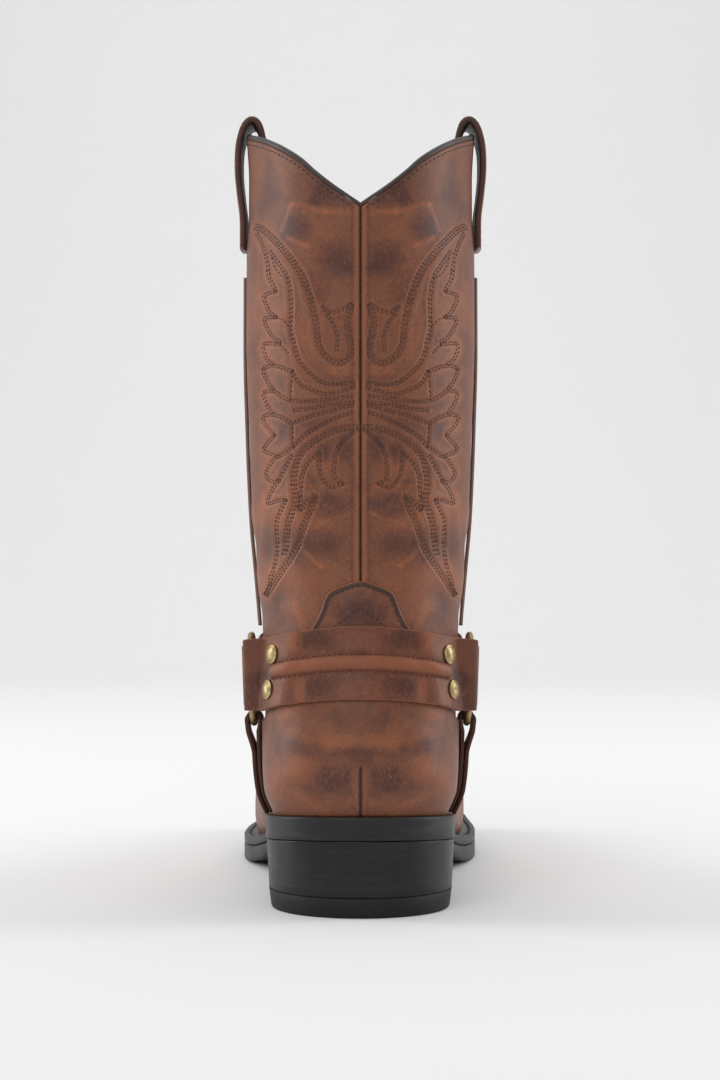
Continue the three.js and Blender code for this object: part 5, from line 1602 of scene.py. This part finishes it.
def stirrup_piece(name, side, node):
    radius = RING_WIRE + GAP + 0.25
    loop_top = RING_HEIGHT - RING_RADIUS
    foot = float(seat(RING_ALONG + STIRRUP_LEAN)) + 2.6
    section = strap_section(STIRRUP_WIDTH)

    def layer(offset, far, down):
        z = np.full(len(section), lerp(loop_top, foot, down))
        width = lerp(STIRRUP_NECK, STIRRUP_WIDTH, ease(down, 0, 0.4))
        y = RING_ALONG + STIRRUP_LEAN * down + (section[:, 0] - 0.5) * width
        level = low_level_of(y, z)
        turn = angle_of(y, level)
        point, out = plain_point(level, turn), outward(level, turn)
        over = ring_plane(z) + radius - point[:, 0]
        near = 1 - ease(down, 0.02, 0.36)
        stand = np.maximum(offset, lerp(offset, over, near)) if far else np.full(len(section), offset)
        proud = section[:, 1] if far else 1 - section[:, 1]
        stand = stand + proud * STIRRUP_LEATHER
        return np.stack([point[:, 0] + out[:, 0] * stand, y + out[:, 1] * stand,
                         point[:, 2] + out[:, 2] * stand], -1)

    def bent(bend):
        dy = (section[:, 0] - 0.5) * STIRRUP_NECK
        centre = RING_HEIGHT - np.sqrt(RING_RADIUS ** 2 - dy ** 2)
        r = radius + section[:, 1] * STIRRUP_LEATHER
        return np.stack([ring_plane(centre) + r * math.cos(bend), RING_ALONG + dy,
                         centre + r * math.sin(bend)], -1)

    downs = np.linspace(0.09, 1, 34)
    rows = [layer(ON_LEATHER, False, d) for d in downs[::-1]]
    rows += [bent(b) for b in np.radians(np.linspace(180, -10, 14))]
    rows += [layer(ON_LEATHER + STIRRUP_LEATHER + GAP, True, d) for d in downs]
    rows = np.array(rows) * [side, 1, 1]
    piece = tube(name, rows, strap_leather)
    cut = np.broadcast_to(ease(from_edge(section, STIRRUP_WIDTH), 0.5, 0.1), rows.shape[:2])
    paint(piece, flat(rows), crest=cut * 0, edge=cut * 0.8)
    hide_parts(node)


# A pull strap's middle line: share of its height, millimetres out from the shaft's side
PULL_PATH = [
    (0, 1.6), (0.22, 1.65), (0.42, 2.8), (0.62, 3.7), (0.8, 3.4), (0.92, 1.9), (0.985, -0.2), (1, -2.4),
    (0.97, -4.6), (0.88, -6.2), (0.72, -6.6), (0.5, -5.4), (0.26, -4.6), (0, -4.5)]


def pull_piece(name, side, node):
    high = COLLAR_HEIGHT + PULL_RISE - PULL_LEATHER / 2
    low = COLLAR_HEIGHT + PULL_RISE - PULL_DROP
    y = float(middle_at(COLLAR_HEIGHT))
    middles = []
    for up, out in PULL_PATH:
        z = lerp(low, high, up)
        middles.append((float(half_at(min(z, COLLAR_HEIGHT))) + out, z))
    path = smoothed(middles, 1.5)
    run = np.gradient(path, axis=0)
    run /= np.linalg.norm(run, axis=1, keepdims=True)
    section = strap_section(PULL_WIDTH)
    rows = []
    for (px, pz), (rx, rz) in zip(path, run):
        along = (section[:, 0] - 0.5) * PULL_WIDTH
        drop = half_at(pz) - half_width(y + along, min(pz, HIGH_LEVEL))
        s = (section[:, 1] - 0.5) * PULL_LEATHER
        rows.append(np.stack([px - drop + rz * s, y + along, pz - rx * s], -1))
    rows = np.array(rows) * [side, 1, 1]
    piece = tube(name, rows, foot_leather)
    rough_side = (section[:, 1] < 0.5) * 1.0
    cut = np.maximum(rough_side, ease(from_edge(section, PULL_WIDTH), 0.5, 0.1) * 0.7)
    cut = np.broadcast_to(cut, rows.shape[:2])
    paint(piece, flat(rows), crest=cut * 0, edge=cut)
    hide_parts(node)
    stitched = []
    for inset in (2.2, PULL_WIDTH - 2.2):
        along = inset - PULL_WIDTH / 2
        use = path[2:len(path) // 3]
        drop = half_at(use[:, 1]) - half_width(y + along, np.minimum(use[:, 1], HIGH_LEVEL))
        line = np.stack([side * (use[:, 0] - drop + PULL_LEATHER / 2 - 0.18),
                         np.full(len(use), y + along), use[:, 1]], -1)
        stitched.append((line, np.tile([side, 0, 0], (len(use), 1))))
    stitches(name + "_threads", stitched, dark_thread, 2.8, 2.0, 0.55)


PIPING = 1.5
SEAM_LEAN = 0.055  # how far forward the side seam runs up to the collar, as a share of the depth


def seam_angle(z):
    lean = SEAM_LEAN * (z - RING_HEIGHT) / (COLLAR_HEIGHT - RING_HEIGHT)
    return angle_of(middle_at(z) + lean * SHAFT_DEPTH, level_of(z))


def piping_piece(name, side, node):
    low = RING_HEIGHT + RING_RADIUS + 2 * RING_WIRE + 1
    high = COLLAR_HEIGHT - PULL_DROP - 3
    z = np.linspace(low, high, 110)
    angle = side * seam_angle(z)
    h = 0.01
    step = plain_point(level_of(z), angle + h) - plain_point(level_of(z), angle - h)
    turn = 2 * h * PIPING / np.linalg.norm(step, axis=1)
    section = [(-1, 0), (-0.8, 0.5), (-0.45, 0.85), (0, 1), (0.45, 0.85), (0.8, 0.5), (1, 0)]
    rows = np.stack([skin(level_of(z), angle + turn * a, GAP + PIPING * b) for a, b in section], 1)
    piece = tube(name, rows, piping_leather)
    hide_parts(node)


def collar_piece():
    turns = around
    arc = np.radians(np.linspace(-8, 188, 11))
    rows = []
    for a in arc:
        offset = -WALL / 2 + (WALL / 2 + 0.15) * math.cos(a)
        p = skin(np.full(len(turns), 3.0), turns, np.full(len(turns), offset))
        p[:, 2] += GAP + 1.5 * max(0, math.sin(a)) ** 0.8 - (0 if math.sin(a) > 0 else 0.2)
        rows.append(p)
    piece = tube("collar_binding", np.array(rows).transpose(1, 0, 2), bead_leather, True)
    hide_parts("collar_bead")
    turns = around[1:]
    edge = collar_edge(np.minimum(turns, 2 * math.pi - turns))
    level = 3 - 2.0 / (edge - HIGH_LEVEL)
    stitches("collar_threads", [(skin(level, turns, 0.05), outward(level, turns))], dark_thread,
             2.6, 1.8, 0.6)


for where, side in (("inner", 1), ("outer", -1)):
    ring_piece("ring_metal_" + where, side, "ring_" + where)
    stirrup_piece("stirrup_leather_" + where, side, "stirrup_strap_" + where)
    pull_piece("pull_leather_" + where, side, "pull_strap_" + where)
    piping_piece("piping_leather_" + where, side, "side_piping_" + where)
    for spot, wrap in (("heel", heel_wrap), ("instep", instep_wrap)):
        for row, height in enumerate(("low", "high")):
            node = f"rivet_{spot}_{height}_{where}"
            rivet_piece(node + "_cap", wrap, side, row, node)
collar_piece()

# Seams behind: the shaft's long seam, the counter's edge, its inner row, and the heel's dart
seam_z = np.linspace(SEAM_LOW + 6, 275, 200)
line, out, _ = on_leather(np.full(200, 0.02), seam_z, -0.3)
stitches("back_seam_threads", [(line, out)], dark_thread, 3.4, 2.7, 0.62)

wide = np.linspace(-19.5, 19.5, 140)
top_z = COUNTER_TOP(np.abs(wide))
slope = np.gradient(top_z, wide)
inward = np.stack([slope, -np.ones_like(slope)], 1)
inward /= np.linalg.norm(inward, axis=1, keepdims=True)
edge_x, edge_z = wide + inward[:, 0] * 1.9, top_z + inward[:, 1] * 1.9
line, out, _ = on_leather(edge_x, edge_z, GAP + OVERLAY - 0.05)
inner_x = np.concatenate([np.linspace(-9.5, 0, 30), np.linspace(0, 9.7, 30)[1:]])
inner_z = 120.6 - np.abs(inner_x) * 0.78
line2, out2, _ = on_leather(inner_x, inner_z, GAP + OVERLAY - 0.05)
stitches("counter_threads", [(line, out), (line2, out2)], dark_thread, 2.1, 1.5, 0.6)

dart_z = np.linspace(42, 58.5, 60)
zigzag = 0.25 * np.sign(np.sin(dart_z * 2.2))
line, out, _ = on_leather(zigzag, dart_z, GAP + OVERLAY - 0.35)
stitches("dart_threads", [(line, out)], dark_thread, 1.6, 1.5, 0.7)

bpy.data.objects["insole"].material_slots[0].material = lining


# Floor, backdrop, light and camera
def backdrop():
    """A pale floor that bends up into a wall behind the boot."""
    profile = [(-4.0, 0.0), (1.6, 0.0)]
    bend = np.linspace(0.1, math.pi / 2, 14)
    profile += [(1.6 + 1.2 * math.sin(a), 1.2 - 1.2 * math.cos(a)) for a in bend]
    profile += [(2.8, 6.0)]
    across = np.linspace(-5, 5, 3)
    points = [(x, y, z) for y, z in profile for x in across]
    mesh = bpy.data.meshes.new("backdrop")
    mesh.from_pydata(points, [], grid_faces(len(profile), 3))
    mesh.polygons.foreach_set("use_smooth", [True] * len(mesh.polygons))
    paper = Finish("backdrop_paper", Roughness=0.9)
    paper.shader.inputs["Base Color"].default_value = colour(229, 229, 229)
    mesh.materials.append(paper.material)
    piece = bpy.data.objects.new("backdrop", mesh)
    bpy.context.scene.collection.objects.link(piece)
    piece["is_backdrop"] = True


def area_light(name, where, target, size, power):
    lamp = bpy.data.lights.new(name, "AREA")
    lamp.shape, lamp.size, lamp.size_y = "RECTANGLE", size[0], size[1]
    lamp.energy = power
    made = bpy.data.objects.new(name, lamp)
    made.location = where
    made.rotation_euler = (Vector(target) - Vector(where)).to_track_quat("-Z", "Y").to_euler()
    bpy.context.scene.collection.objects.link(made)


backdrop()
area_light("key", (-0.5, -1.9, 1.3), (0, 0, 0.16), (1.6, 1.4), 16)
area_light("left_strip", (-1.5, 0.35, 0.6), (0, 0, 0.15), (0.7, 1.6), 15)
area_light("right_strip", (1.5, 0.35, 0.6), (0, 0, 0.15), (0.7, 1.6), 14)
area_light("overhead", (0, 0.2, 2.2), (0, 0, 0), (2.4, 2.4), 18)
area_light("wash", (0, 1.2, 2.0), (0, 2.6, 0.6), (3.0, 1.0), 18)
world = bpy.data.worlds.new("studio")
world.use_nodes = True
world.node_tree.nodes["Background"].inputs[0].default_value = (1, 1, 1, 1)
world.node_tree.nodes["Background"].inputs[1].default_value = 0.36
bpy.context.scene.world = world
bpy.context.scene.view_settings.view_transform = "Standard"

lens = bpy.data.cameras.new("camera")
lens.lens = 82.5
lens.sensor_width = 36
camera = bpy.data.objects.new("camera", lens)
camera.location = (-0.0002, -0.9955, 0.147)
camera.rotation_euler = (math.pi / 2, 0, 0)
bpy.context.scene.collection.objects.link(camera)
bpy.context.scene.camera = camera

[[list(corner) for corner in box] for box in (cad_box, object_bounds())]
